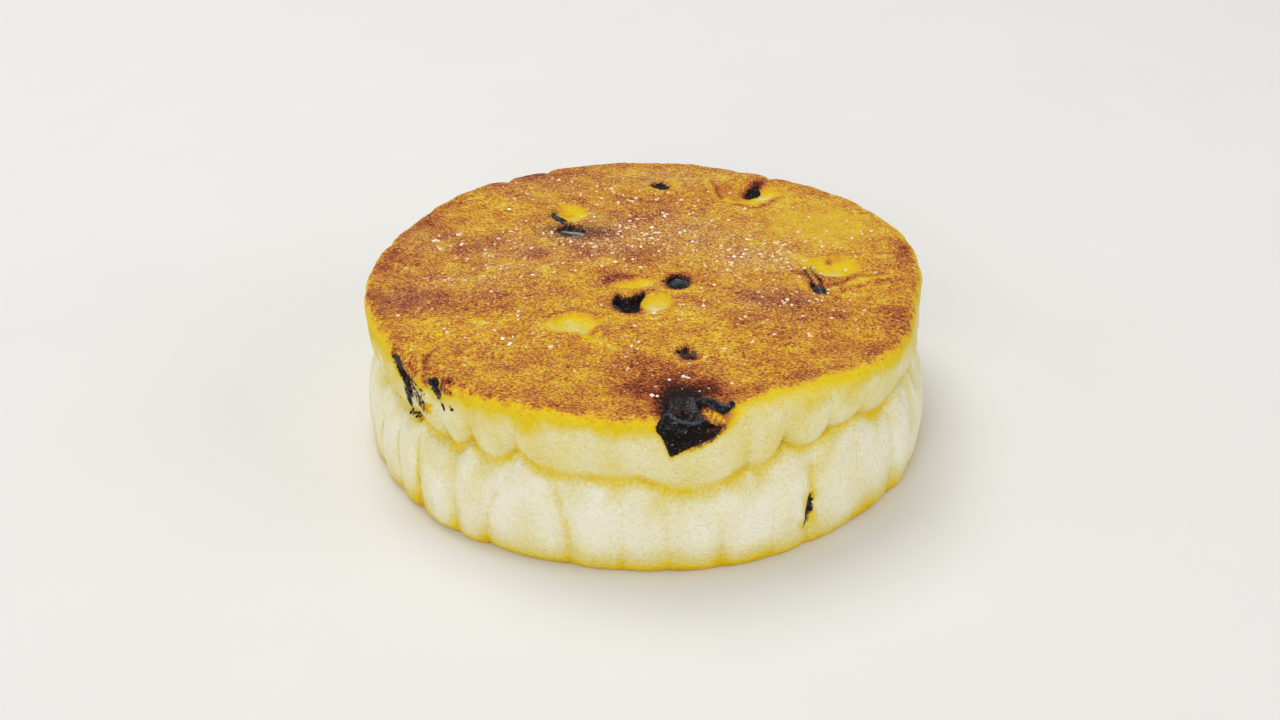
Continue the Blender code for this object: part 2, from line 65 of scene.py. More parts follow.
# Height at which the rim starts to round over, and half the distance over its rounding
RIM_HEIGHT = CAKE_HEIGHT - RIM_ROUND
ROUND_HALF = math.pi / 4.0 * RIM_ROUND
FLUTE_PITCH = 8.9
# The photo shows the side as far round as this on the left and on the right
FRONT_BEARING = 66.0
CREST_POWER = 2.8
TURN_IN_POWER = 2.4
GROOVE_SWING = 3.0
HIDDEN_SEED = 7
# How far a groove at the back may stray from its even place, and lean from there, in degrees
GROOVE_STRAY, GROOVE_LEAN = 1.4, 1.0

# Grooves between the lower lobes: bearing at the crease and at the foot, depth at the crease and at the foot
LOWER_GROOVES = (
    (-65.7, -65.7, 0.35, 0.5), (-59.5, -56.2, 0.4, 0.55), (-52.0, -48.6, 0.4, 0.6),
    (-39.8, -37.7, 0.3, 0.5), (-24.0, -31.0, 0.3, 0.5), (-18.5, -14.0, 0.25, 0.4), (-4.8, -4.2, 0.1, 0.18),
    (3.0, 3.8, 0.12, 0.25), (12.4, 13.5, 0.15, 0.28), (23.3, 23.3, 0.1, 0.15), (33.6, 31.0, 0.4, 0.35),
    (45.0, 43.0, 0.1, 0.18), (57.3, 55.2, 0.15, 0.38), (64.5, 64.5, 0.15, 0.3),
)
# Grooves between the upper lobes: bearing at the rim and at the crease, depth at the rim and at the crease,
# height of the crease there, and how far the next lobe hangs below that
UPPER_GROOVES = (
    (-59.4, -50.6, 0.08, 0.2, 11.4, 0.9), (-46.4, -42.3, 0.2, 0.6, 10.5, 1.0),
    (-35.2, -35.6, 0.15, 0.5, 11.9, 1.6), (-24.8, -25.2, 0.1, 0.45, 12.3, 0.8),
    (-10.9, -10.9, 0.0, 0.12, 10.9, 0.2), (-1.2, -1.2, 0.0, 0.15, 11.1, 1.9),
    (18.6, 19.1, 0.1, 0.4, 11.4, 1.3), (26.3, 26.6, 0.15, 0.5, 13.2, 1.2),
    (36.7, 37.2, 0.2, 0.45, 12.5, 0.3), (45.9, 45.9, 0.15, 0.3, 12.6, 1.4),
    (61.8, 61.8, 0.15, 0.4, 12.2, 1.0), (123.0, 123.0, 0.5, 0.5, 11.8, 1.2),
    (149.0, 149.0, 0.75, 0.6, 12.2, 1.0), (157.0, 157.0, 0.3, 0.4, 11.6, 1.3),
    (176.0, 176.0, 0.2, 0.35, 11.9, 1.1), (-156.0, -156.0, 0.7, 0.6, 11.5, 1.2),
    (-145.0, -145.0, 1.1, 0.8, 12.0, 0.9), (-104.5, -104.5, 0.7, 0.6, 11.7, 1.2),
)
# The cake is out of round: bearing, change of radius and half width of each swell
RIM_SWELLS = (
    (78.0, -1.15, 13.0), (118.0, 1.15, 24.0), (180.0, 0.5, 34.0), (-135.0, 0.3, 8.0), (-116.0, -0.4, 8.0),
    (-80.0, 0.1, 9.0),
)
BELLY_SWELLS = (
    (-90.0, -0.3, 26.0), (-40.0, 0.45, 11.0), (18.0, 0.42, 14.0), (60.0, 0.3, 5.0), (90.0, -0.15, 20.0),
)
# Hollows in the crust that hold no currant: x, y, half length, half width, turn, depth, and how yellow the
# dough in them stayed
DENTS = (
    (1.1, -7.4, 1.9, 2.3, 0.0, 0.85, 1.0), (-1.6, -2.9, 2.7, 1.2, 6.0, 0.4, 0.85),
    (12.6, 22.9, 5.2, 3.5, 0.0, 1.1, 0.3), (-9.2, 16.1, 2.1, 2.4, 0.0, 0.9, 1.0),
    (21.9, 1.7, 3.3, 2.8, 0.0, 1.0, 1.0), (-7.8, -12.0, 3.1, 2.2, 0.0, 0.85, 1.0),
    (-6.2, -14.3, 1.7, 0.9, -30.0, 0.5, 0.9),
)
# Currants in the crust: x, y, half length, half width, half depth, turn, and depth of the skin below the
# crust
TOP_CURRANTS = {
    "currant_centre_front": (-2.1, -7.1, 2.7, 2.2, 1.9, 62.0, 0.60),
    "currant_centre_back": (3.6, -2.3, 2.1, 2.3, 1.7, 0.0, 0.70),
    "currant_near_raisin": (4.2, -18.6, 1.6, 1.4, 1.3, 0.0, 0.45),
    "currant_back": (1.9, 24.9, 1.7, 1.3, 1.3, 0.0, 0.45),
    "currant_back_hollow": (13.8, 23.0, 1.3, 1.6, 1.3, -20.0, 1.15),
    "currant_left_back": (-10.7, 15.1, 2.6, 1.1, 1.3, -59.0, 0.50),
    "currant_under_skin": (-8.7, 10.9, 3.2, 1.4, 1.2, -17.0, 0.15),
    "currant_right": (19.5, -2.0, 2.6, 1.1, 1.3, -75.0, 0.50),
}
# Currants in the side: bearing, height, half length, half width, half depth, lean to the left of upright, and
# depth of the skin below the dough
SIDE_CURRANTS = {
    "currant_left_fold": (-54.6, 14.2, 4.3, 1.2, 1.5, 39.0, 0.15),
    "currant_left_rim": (-43.3, 16.2, 2.5, 1.1, 1.4, 36.0, 0.15),
    "currant_right_slit": (31.5, 4.5, 2.2, 0.9, 1.3, -10.0, 0.10),
    "currant_rear_right": (152.0, 14.6, 2.3, 1.3, 1.4, 20.0, 0.15),
    "currant_rear_left": (-118.0, 5.6, 2.6, 1.0, 1.3, -14.0, 0.10),
}


def smooth_step(low, high, value):
    """0 at low, 1 at high, and a smooth S between them, whichever of the two is the larger."""
    share = np.clip((value - low) / (high - low), 0.0, 1.0)
    return share * share * (3.0 - 2.0 * share)


def wrapped(bearing):
    """A bearing brought to between -180 and 180."""
    return (bearing + 180.0) % 360.0 - 180.0


def with_hidden_grooves(known, draw_rest):
    """The known grooves in order round the cake, with more of them, one pitch apart, where none was seen."""
    known = sorted(known)
    grooves = []
    for here, there in zip(known, known[1:] + [known[0]]):
        grooves.append(here)
        gap = (there[0] - here[0]) % 360.0
        hidden = abs(here[0] + gap / 2.0) > FRONT_BEARING
        count = round(gap / FLUTE_PITCH) - 1 if hidden else 0
        grooves += [draw_rest(here[0] + gap * step / (count + 1)) for step in range(1, count + 1)]
    return np.array(sorted(grooves))


def hidden_lower(bearing):
    """A groove between lower lobes at the back, drawn close to its even place, in the terms of the table."""
    bearing = wrapped(bearing + RNG.uniform(-GROOVE_STRAY, GROOVE_STRAY))
    at_foot = bearing + RNG.uniform(-GROOVE_LEAN, GROOVE_LEAN)
    return (bearing, at_foot, RNG.uniform(0.15, 0.4), RNG.uniform(0.3, 0.6))


def hidden_upper(bearing):
    """A groove between upper lobes at the back, drawn in the same way."""
    bearing = wrapped(bearing + RNG.uniform(-GROOVE_STRAY, GROOVE_STRAY))
    depths = (RNG.uniform(0.05, 0.25), RNG.uniform(0.3, 0.6))
    at_crease = bearing + RNG.uniform(-GROOVE_LEAN, GROOVE_LEAN)
    return (bearing, at_crease, *depths, RNG.uniform(11.2, 12.6), RNG.uniform(0.5, 1.6))


RNG = np.random.default_rng(HIDDEN_SEED)
LOWER = with_hidden_grooves(LOWER_GROOVES, hidden_lower)
UPPER = with_hidden_grooves(UPPER_GROOVES, hidden_upper)


def lobe_phase(bearing, groove_bearings):
    """Which lobe a bearing is in, as a number that rises by 1 from each groove to the next."""
    around = np.concatenate([groove_bearings[-2:] - 360.0, groove_bearings, groove_bearings[:2] + 360.0])
    return np.interp(bearing, around, np.arange(-2, len(groove_bearings) + 2))


def crease_height(bearing):
    """Height of the crease: a line from groove to groove, less a parabola where a lobe between them sags."""
    phase = lobe_phase(bearing, UPPER[:, 1])
    lobe = np.floor(phase).astype(int)
    share = phase - lobe
    here, there = UPPER[lobe % len(UPPER)], UPPER[(lobe + 1) % len(UPPER)]
    line = here[..., 4] * (1.0 - share) + there[..., 4] * share
    return line - here[..., 5] * (1.0 - (2.0 * share - 1.0) ** 2)


def out_of_round(bearing, swells):
    """How far a list of swells moves the side out at a bearing: a bell curve for each."""
    return sum(change * bell(wrapped(bearing - middle), half_width) for middle, change, half_width in swells)


def waist_radius(bearing):
    """Radius in the crease: it is deeper at the two sides of the cake than at the front and the back."""
    return WAIST_FRONT_RADIUS + (WAIST_SIDE_RADIUS - WAIST_FRONT_RADIUS) * np.sin(np.radians(bearing)) ** 2


def groove_at(grooves, bearing, share, swing):
    """How far a place is into a groove, and that groove's depth, at a share of the way up its tier.

    The first is 1 in the groove and falls to 0 on the crest of a lobe, by a power of the distance from it.
    A groove swings from its lower bearing to its upper one by a power of the share.
    """
    share = np.clip(share, 0.0, 1.0)
    swung = share**swing
    phase = (1.0 - swung) * lobe_phase(bearing, grooves[:, 1]) + swung * lobe_phase(bearing, grooves[:, 0])
    nearest = grooves[np.round(phase).astype(int) % len(grooves)]
    depth = (1.0 - share) * nearest[..., 3] + share * nearest[..., 2]
    return np.abs(2.0 * (phase - np.floor(phase)) - 1.0) ** CREST_POWER, depth


def lower_grooves(bearing, height, crease):
    """The grooves of the lower tier, which swing aside close to the crease."""
    return groove_at(LOWER, bearing, height / crease, GROOVE_SWING)


def upper_grooves(bearing, height, crease):
    """The grooves of the upper tier, which lean evenly from the crease to the rim."""
    return groove_at(UPPER, bearing, (height - crease) / (RIM_HEIGHT - crease), 1.0)


def lower_radius(bearing, height, crease):
    """Radius of the lower tier: a quarter circle at the foot, a belly, and a power curve in to the crease."""
    up = np.clip((height - BELLY_HEIGHT) / (crease - BELLY_HEIGHT), 0.0, 1.0)
    down = np.clip((BELLY_HEIGHT - height) / BELLY_HEIGHT, 0.0, 1.0)
    belly = BELLY_RADIUS + out_of_round(bearing, BELLY_SWELLS)
    radius = belly - (belly - waist_radius(bearing)) * up**TURN_IN_POWER - FOOT_TUCK * down**2
    drop = np.clip((FOOT_ROUND_RISE - height) / FOOT_ROUND, 0.0, 1.0)
    groove, depth = lower_grooves(bearing, height, crease)
    return radius - FOOT_ROUND * (1.0 - np.sqrt(1.0 - drop**2)) - depth * groove


def upper_radius(bearing, height, crease):
    """Radius of the upper tier: a power curve out of the crease to the shoulder, then an S on to the rim."""
    share = np.clip((height - crease) / (RIM_HEIGHT - crease), 0.0, 1.0)
    out = 1.0 - (1.0 - np.clip(share / SHOULDER_SHARE, 0.0, 1.0)) ** TURN_IN_POWER
    waist = waist_radius(bearing)
    radius = waist + (SHOULDER_RADIUS - waist) * out
    flare = RIM_RADIUS - SHOULDER_RADIUS + out_of_round(bearing, RIM_SWELLS)
    radius += flare * smooth_step(0.1, 1.0, share)
    groove, depth = upper_grooves(bearing, height, crease)
    return radius - depth * groove


def side_radius(bearing, height):
    """Radius of the side at a bearing and a height, up to where the rim starts to round over."""
    crease = crease_height(bearing)
    tiers = lower_radius(bearing, height, crease), upper_radius(bearing, height, crease)
    return np.where(height < crease, *tiers)


def turned(along_x, along_y, half_length, half_width, turn):
    """Distance from the middle of a turned oval, as a share of its half length and half width."""
    angle = math.radians(turn)
    along = (along_x * math.cos(angle) + along_y * math.sin(angle)) / half_length
    across = (along_y * math.cos(angle) - along_x * math.sin(angle)) / half_width
    return np.hypot(along, across)


def line_distance(x, y, points):
    """Distance from a line in straight runs between its points."""
    nearest = np.full_like(x, np.inf)
    for (x0, y0), (x1, y1) in zip(points, points[1:]):
        run_x, run_y = x1 - x0, y1 - y0
        share = np.clip(((x - x0) * run_x + (y - y0) * run_y) / math.hypot(run_x, run_y) ** 2, 0.0, 1.0)
        nearest = np.minimum(nearest, np.hypot(x - x0 - share * run_x, y - y0 - share * run_y))
    return nearest


def bell(distance, half_width):
    """A bell curve: 1 at no distance, and about a third at the half width."""
    return np.exp(-((distance / half_width) ** 2))


def bells(x, y, patches):
    """Each oval patch's strength at a place: its last value times a bell of the distance from its middle."""
    for middle_x, middle_y, half_length, half_width, turn, strength in patches:
        yield strength * bell(turned(x - middle_x, y - middle_y, half_length, half_width, turn), 1.0)


def strongest(layers):
    """The largest of several layers of numbers, point by point."""
    return np.maximum.reduce([*layers])


def by_bearing(table, bearing):
    """A table's value at a bearing, in straight runs between its rows and on round the cake."""
    return np.interp(bearing, *np.array(table).T, period=360.0)


def outside(arc, down, outline):
    """Distance outside a closed outline, less than nothing inside it, from an even-odd count of its edges."""
    corners = outline + outline[:1]
    inside = np.zeros(np.shape(arc), dtype=bool)
    for (x0, y0), (x1, y1) in zip(corners, corners[1:]):
        crosses = (y0 > down) != (y1 > down)
        inside ^= crosses & (arc < x0 + (x1 - x0) * (down - y0) / (y1 - y0 if y1 != y0 else 1.0))
    return line_distance(arc, down, corners) * np.where(inside, -1.0, 1.0)


# The opening torn in the crust over each currant: how much browner the dough baked round it, and its outline.
# Inside the outline the walls and floor are painted near-black, partly the currant's skin and partly
# painted shade.
PITS = {
    "currant_centre_front": (0.10, (
        (-3.7, -6.4), (-3.4, -5.0), (-2.8, -5.7), (-2.1, -5.9), (-1.5, -5.6), (-0.8, -5.0), (-0.1, -4.4),
        (0.1, -4.9), (-0.2, -5.9), (-0.6, -7.0), (-0.7, -8.1), (-0.4, -9.0), (-0.9, -9.7), (-1.8, -9.8),
        (-2.7, -9.6), (-3.3, -9.0), (-3.8, -8.1), (-3.9, -7.3),
    )),
    "currant_centre_back": (0.26, (
        (2.4, -1.4), (2.7, -0.7), (3.4, -0.5), (4.2, -0.5), (4.9, -0.8), (5.1, -1.8), (5.1, -2.8),
        (4.8, -3.6), (4.1, -4.0), (3.4, -4.1), (2.9, -3.8), (2.4, -3.1), (2.3, -2.2),
    )),
    "currant_near_raisin": (0.12, (
        (3.0, -18.4), (3.3, -18.1), (3.7, -17.8), (4.1, -17.3), (4.4, -17.0), (4.5, -17.5), (4.7, -18.2),
        (5.0, -18.2), (5.3, -18.6), (5.4, -19.2), (5.4, -20.0), (5.0, -20.3), (4.4, -20.2), (3.9, -19.9),
        (3.5, -19.2),
    )),
    "currant_back": (0.06, (
        (0.6, 25.0), (1.0, 25.6), (1.8, 25.6), (2.3, 25.9), (2.6, 25.2), (3.1, 24.4), (3.2, 23.8),
        (2.8, 23.2), (2.0, 23.3), (1.4, 23.7), (0.9, 24.2),
    )),
    "currant_back_hollow": (0.24, (
        (12.9, 23.6), (13.1, 24.5), (13.4, 25.1), (13.8, 25.5), (14.4, 25.8), (14.9, 25.6), (14.7, 25.0),
        (14.3, 24.5), (14.0, 24.0), (13.7, 23.6), (13.3, 23.3),
    )),
    "currant_left_back": (0.08, (
        (-11.8, 16.1), (-11.6, 16.6), (-11.3, 16.4), (-10.9, 15.6), (-10.4, 14.7), (-10.0, 13.9),
        (-9.6, 13.3), (-9.5, 12.8), (-9.9, 12.8), (-10.5, 13.4), (-11.2, 14.3), (-11.6, 15.1),
    )),
    "currant_under_skin": (0.10, (
        (-10.9, 10.9), (-10.5, 12.0), (-10.1, 12.7), (-9.4, 12.7), (-8.5, 12.3), (-7.8, 11.8), (-7.2, 10.8),
        (-7.3, 9.8), (-8.1, 9.3), (-9.0, 9.3), (-9.9, 9.5), (-10.5, 10.1),
    )),
    "currant_right": (0.12, (
        (18.8, -2.8), (19.1, -2.4), (19.4, -2.6), (19.9, -3.0), (20.3, -3.5), (20.6, -4.2), (20.8, -4.9),
        (20.4, -5.3), (19.8, -5.2), (19.2, -4.6), (18.9, -3.8),
    )),
}
# Dried skin on the crust and in its pits: x, y, half length, half width and turn of each patch, and how slate
# grey it is, or below nothing how thin and red-brown. Where it is grey it lies close under the crust.
# The slate strip at the lower left lip of the centre front pit is partly a painted highlight on the skin's
# edge, and the red-brown at the back of the pit over the currant under the skin is partly painted shade in
# the gap there
CRUST_SKIN = (
    (-3.3, -8.5, 1.8, 0.72, -62.0, 1.0), (3.6, -19.0, 1.3, 0.5, -55.0, 0.9),
    (4.5, -18.5, 0.9, 1.1, 0.0, -1.2), (4.8, -19.9, 0.6, 0.4, 0.0, 0.5), (3.7, -2.6, 1.4, 1.2, 0.0, 0.55),
    (-10.9, 14.8, 1.8, 0.5, -59.0, 0.6), (-9.9, 10.2, 1.5, 0.7, -10.0, 0.9),
    (-8.3, 10.2, 1.2, 0.7, 0.0, 0.6), (-8.0, 11.6, 1.0, 0.6, 0.0, -0.5), (19.8, -4.1, 1.1, 0.6, -50.0, 0.7),
    (1.6, 24.8, 1.2, 0.6, -30.0, 0.5),
)
# Creases, fine lips and cracks in the crust: the points of each, its half width, its height, and change of
# browning. The change is partly the dough's own colour and partly painted light: paler along a raised lip
# as a painted highlight, browner along a sunk line as painted shade.
CRUST_LINES = (
    (((7.9, 26.1), (8.4, 24.2), (9.0, 22.3), (10.3, 20.2)), 0.42, 0.16, -0.07),
    (((10.3, 20.2), (12.0, 19.2), (13.6, 18.9), (15.4, 19.9)), 0.42, 0.18, -0.20),
    (((8.7, 25.8), (9.4, 24.2), (9.9, 22.1), (11.2, 20.6), (13.0, 20.4)), 0.36, -0.10, 0.17),
    (((11.4, 19.2), (12.6, 18.0), (14.1, 17.9), (15.6, 19.0), (16.9, 21.2)), 0.34, -0.16, 0.22),
    (((18.9, 0.4), (19.2, -1.1), (19.7, -2.6)), 0.18, 0.06, -0.30),
    (((19.9, 0.1), (20.3, -1.2), (20.8, -2.6)), 0.18, 0.06, -0.16),
    (((-9.6, 12.6), (-8.4, 13.0), (-7.7, 14.4), (-7.5, 16.2)), 0.30, 0.12, -0.14),
    (((22.8, -4.0), (24.1, -2.6), (26.1, -1.6), (28.0, -1.2)), 0.40, 0.12, -0.14),
    (((22.3, -4.9), (24.1, -3.4), (26.1, -2.4), (28.0, -2.0)), 0.34, -0.14, 0.15),
    (((21.2, -5.4), (23.2, -6.0), (25.2, -5.6)), 0.34, 0.10, -0.10),
    (((21.0, -3.7), (22.4, -2.9), (23.8, -1.4), (25.2, -0.2)), 0.28, -0.08, 0.17),
    (((20.9, -4.4), (21.6, -4.1)), 0.34, 0.08, -0.22),
    (
        ((-10.7, -12.2), (-10.2, -13.4), (-8.6, -14.1), (-7.2, -15.0), (-5.6, -16.2), (-4.4, -17.0)),
        0.45, 0.14, -0.17,
    ),
    (((-11.2, -12.0), (-10.2, -9.6), (-7.9, -9.1), (-5.8, -9.9), (-5.0, -11.8)), 0.45, -0.06, 0.05),
    (((-5.8, -12.4), (-4.6, -13.8), (-4.4, -15.2)), 0.35, 0.08, 0.10),
    (((-22.0, -15.6), (-23.2, -16.6), (-23.8, -18.4), (-23.8, -20.5), (-23.6, -22.2)), 0.34, 0.10, -0.11),
    (((-22.9, -17.8), (-23.3, -19.2), (-23.3, -21.4), (-23.2, -23.4)), 0.20, -0.14, 0.30),
    (((1.6, -4.4), (2.6, -4.9), (4.4, -4.9), (5.4, -4.0)), 0.35, 0.08, -0.16),
    (((3.2, -21.0), (4.6, -21.5), (5.9, -20.8), (6.3, -19.6)), 0.38, 0.10, -0.14),
    (((-3.9, -10.8), (-1.6, -11.4), (0.4, -10.4)), 0.35, 0.06, -0.10),
    (((-22.3, -14.9), (-23.1, -17.1), (-23.2, -20.0), (-23.3, -23.2)), 0.55, -0.30, 0.0),
    (((25.4, -3.2), (23.6, -5.2), (21.6, -7.0)), 0.55, -0.21, 0.0),
)
# The crust as a whole swells this much, in waves that turn through a radian over these distances
CRUST_SWELL, SWELL_LENGTHS = 0.12, (9.0, 11.0)
# Where a dent's wall ends and where it starts, as shares of the dent's size
DENT_WALL = (0.42, 1.08)
# Distances outside a pit's edge between which its wall stands, and how far its floor lies below the skin, as
# a share of the currant's half depth
PIT_WALL = (-0.14, 0.03)
PIT_FLOOR_SHARE = 0.42
# How far the crust sags at a pit, as a share of its skin's depth, and how far round it
PIT_SAG, PIT_SAG_WIDTH = 0.20, 0.80
# Slate skin shows from this share on, and lifts the pit's floor nearly to the crust
SKIN_SHOWS, SKIN_FULL, SKIN_LIFT = 0.25, 0.65, 0.80


def pit_places(x, y):
    """For each pit in the crust: distance outside its edge, depth of its floor, and depth of its skin."""
    for name, (_, outline) in PITS.items():
        half_depth, sunk = TOP_CURRANTS[name][4], TOP_CURRANTS[name][6]
        yield outside(x, y, outline), sunk + half_depth * PIT_FLOOR_SHARE, sunk


def in_dent(x, y, dent, full, nothing):
    """1 in the middle of a dent and 0 round it, with an S between two shares of its size."""
    middle_x, middle_y, *oval = dent[:5]
    return 1.0 - smooth_step(full, nothing, turned(x - middle_x, y - middle_y, *oval))


def dried_skin(x, y, patches):
    """How slate grey, or below nothing how red-brown, skin is: the strongest of its bell-shaped patches."""
    near = [0.0 * x, *bells(x, y, patches)]
    grey, red = np.maximum.reduce(near), np.minimum.reduce(near)
    return np.where(grey > SKIN_SHOWS, grey, red)


def crust_height(x, y):
    """Height of the crust: a slow swell, less dents and creases, cut down to a floor round each currant."""
    long_x, long_y = SWELL_LENGTHS
    height = CAKE_HEIGHT - CRUST_SWELL * np.sin(x / long_x + 0.8) * np.sin(y / long_y - 0.4)
    for dent in DENTS:
        height -= dent[5] * in_dent(x, y, dent, *DENT_WALL)
    for points, half_width, change, _ in CRUST_LINES:
        height += change * bell(line_distance(x, y, points), half_width)
    close = 1.0 - SKIN_LIFT * smooth_step(SKIN_SHOWS, SKIN_FULL, dried_skin(x, y, CRUST_SKIN))
    for off, floor, sunk in pit_places(x, y):
        height -= PIT_SAG * sunk * bell(off, PIT_SAG_WIDTH)
        height += (CAKE_HEIGHT - floor * close - height) * (1.0 - smooth_step(*PIT_WALL, off))
    return height


def on_arc(points):
    """Points given by bearing turned into points given by distance along the rim."""
    return tuple((math.radians(bearing) * RIM_RADIUS, down) for bearing, down in points)


# Tears that show the currants in the side: depth, how solid the dark in each is, partly the currant's skin
# and partly painted shade in the gap, and its outline by bearing and distance down from the middle of the rim
SIDE_TEARS = {
    "currant_left_fold": (0.55, 1.0, (
        (-58.0, 0.7), (-57.0, 1.4), (-55.5, 2.0), (-54.2, 2.8), (-53.5, 3.6), (-53.5, 4.8), (-55.5, 6.6),
        (-56.2, 8.0), (-55.2, 8.0), (-55.6, 7.4), (-53.0, 5.7), (-50.9, 4.0), (-50.4, 3.2), (-50.9, 2.5),
        (-50.6, 1.8), (-51.8, 1.4), (-53.2, 1.0), (-53.6, 0.6), (-54.8, 0.2), (-56.4, 0.2),
    )),
    "currant_left_rim": (0.55, 1.0, (
        (-45.8, 0.4), (-45.0, 0.9), (-44.0, 1.5), (-43.0, 1.7), (-42.3, 2.2), (-41.8, 2.3), (-41.2, 1.8),
        (-41.2, 1.2), (-41.8, 0.7), (-42.1, 0.2), (-43.0, -0.2), (-43.9, 0.0), (-44.8, 0.3),
    )),
    "currant_right_slit": (0.22, 0.80, (
        (31.5, 11.6), (32.2, 11.9), (32.2, 12.4), (32.2, 13.2), (32.0, 13.9), (31.2, 13.9), (31.0, 14.3),
        (30.8, 14.8), (30.0, 15.1), (29.8, 14.8), (30.2, 14.1), (30.0, 13.4), (30.5, 12.8), (30.8, 12.2),
        (31.0, 11.8),
    )),
    "currant_rear_right": (0.60, 1.0, (
        (149.2, 5.6), (148.9, 4.6), (150.2, 3.2), (152.3, 2.0), (154.4, 1.1), (155.4, 1.5), (154.9, 2.8),
        (153.4, 4.2), (151.3, 5.4),
    )),
    "currant_rear_left": (0.55, 1.0, (
        (-117.2, 14.7), (-118.4, 14.2), (-119.4, 12.4), (-119.7, 10.6), (-119.0, 10.1), (-117.6, 11.2),
        (-116.8, 12.8),
    )),
}
# Distances outside a tear's edge between which its wall stands
TEAR_WALL = (-0.40, 0.05)


def tear_places(bearing, down):
    """For each tear in the side: distance outside its edge, its depth, and how solid the skin in it is."""
    for depth, solid, outline in SIDE_TEARS.values():
        middle = outline[0][0]
        arc = np.radians(wrapped(bearing - middle) + middle) * RIM_RADIUS
        yield outside(arc, down, on_arc(outline)), depth, solid


def torn_away(off):
    """Share of a tear's depth at a distance outside its edge: all inside, then an S to nothing."""
    return 1.0 - smooth_step(*TEAR_WALL, off)


def waves(points, length, seed, count=28):
    """Soft relief between about -1 and 1: plane waves of about one length, in many directions, added up."""
    rng = np.random.default_rng(seed)
    way = rng.normal(size=(count, 3))
    way /= np.linalg.norm(way, axis=1)[:, None]
    way *= (2.0 * math.pi / (length * rng.uniform(0.7, 1.5, count)))[:, None]
    return np.sin(points @ way.T + rng.uniform(0.0, 2.0 * math.pi, count)).sum(axis=-1) / math.sqrt(count)


def added_waves(points, lots):
    """Several lots of waves added up, each given by its height, its length and its seed."""
    return sum(height * waves(points, length, seed) for height, length, seed in lots)


def disc_grid(cells):
    """A square grid bent into a disc, so that its square rings become circles.

    Returns each point's share of the radius and its bearing, the grid's squares as faces, and the points of
    the outermost ring in order of bearing. A point's share is how far out its square ring is, and its bearing
    is its place along that ring.
    """
    line = np.linspace(-1.0, 1.0, cells + 1)
    across, away = np.meshgrid(line, line)
    across, away = across.ravel(), away.ravel()
    share = np.maximum(np.abs(across), np.abs(away))
    sideways = np.abs(across) >= np.abs(away)
    main = np.where(sideways, across, away)
    slope = np.where(sideways, away, -across) / np.where(main == 0.0, 1.0, main)
    quarter = np.where(sideways, np.where(across >= 0.0, 0.0, 180.0), np.where(away > 0.0, 90.0, 270.0))
    bearing = (quarter + 45.0 * slope + 90.0 + 180.0) % 360.0 - 180.0
    row, column = np.meshgrid(np.arange(cells), np.arange(cells), indexing="ij")
    corner = (row * (cells + 1) + column).ravel()
    faces = np.stack([corner, corner + 1, corner + cells + 2, corner + cells + 1], axis=1)
    edge = np.nonzero(share > 1.0 - 0.5 / cells)[0]
    return share, bearing, faces, edge[np.argsort(bearing[edge])]


def around_point(radius, bearing, height):
    """Points at a radius, a bearing and a height."""
    angle = np.radians(bearing)
    return np.stack([radius * np.sin(angle), -radius * np.cos(angle), height + 0.0 * radius], axis=-1)


def on_rim(arc, down, height):
    """Points over the rim and down the side: arc along it, distance down its rounding, height off it."""
    arc, down, height = (np.asarray(value, dtype=float) for value in (arc, down, height))
    bearing = np.degrees(arc / RIM_RADIUS)
    edge = side_radius(bearing, np.full_like(bearing, RIM_HEIGHT)) - RIM_ROUND
    turn = np.clip(math.pi / 4.0 - down / RIM_ROUND, 0.0, math.pi / 2.0)
    inward, lower = np.maximum(-down - ROUND_HALF, 0.0), np.maximum(down - ROUND_HALF, 0.0)
    radius = edge - inward + (RIM_ROUND + height) * np.cos(turn)
    radius += np.where(lower > 0.0, side_radius(bearing, RIM_HEIGHT - lower) - edge - RIM_ROUND, 0.0)
    return around_point(radius, bearing, RIM_HEIGHT - lower + (RIM_ROUND + height) * np.sin(turn))


def ladder_faces(rungs):
    """Squares between the rows of a grid of point numbers that closes on itself sideways."""
    left, right = rungs, np.roll(rungs, -1, axis=1)
    return np.stack([left[:-1], right[:-1], right[1:], left[1:]], axis=-1).reshape(-1, 4)


def make_piece(name, points, faces, material):
    """A smooth mesh of points in millimetres, kept in metres, with its object at the origin."""
    mesh = bpy.data.meshes.new(name)
    mesh.from_pydata((np.asarray(points) * MM).tolist(), [], faces)
    mesh.materials.append(material)
    mesh.shade_smooth()
    piece = bpy.data.objects.new(name, mesh)
    bpy.context.scene.collection.objects.link(piece)
    return piece


def paint(piece, name, values):
    """Keeps one number for each point of a piece, for its material to read."""
    layer = piece.data.attributes.new(name, "FLOAT", "POINT")
    layer.data.foreach_set("value", np.ascontiguousarray(values, dtype=np.float32))


CRUST_CELLS = 200
UNDER_CELLS = 100
FOOT_ROWS = 6
LOWER_ROWS = 22
UPPER_ROWS = 21
RIM_ROWS = 9

crust_share, crust_bearing, crust_faces, crust_ring = disc_grid(CRUST_CELLS)
ring_bearing = crust_bearing[crust_ring]
crease = crease_height(ring_bearing)[None, :]
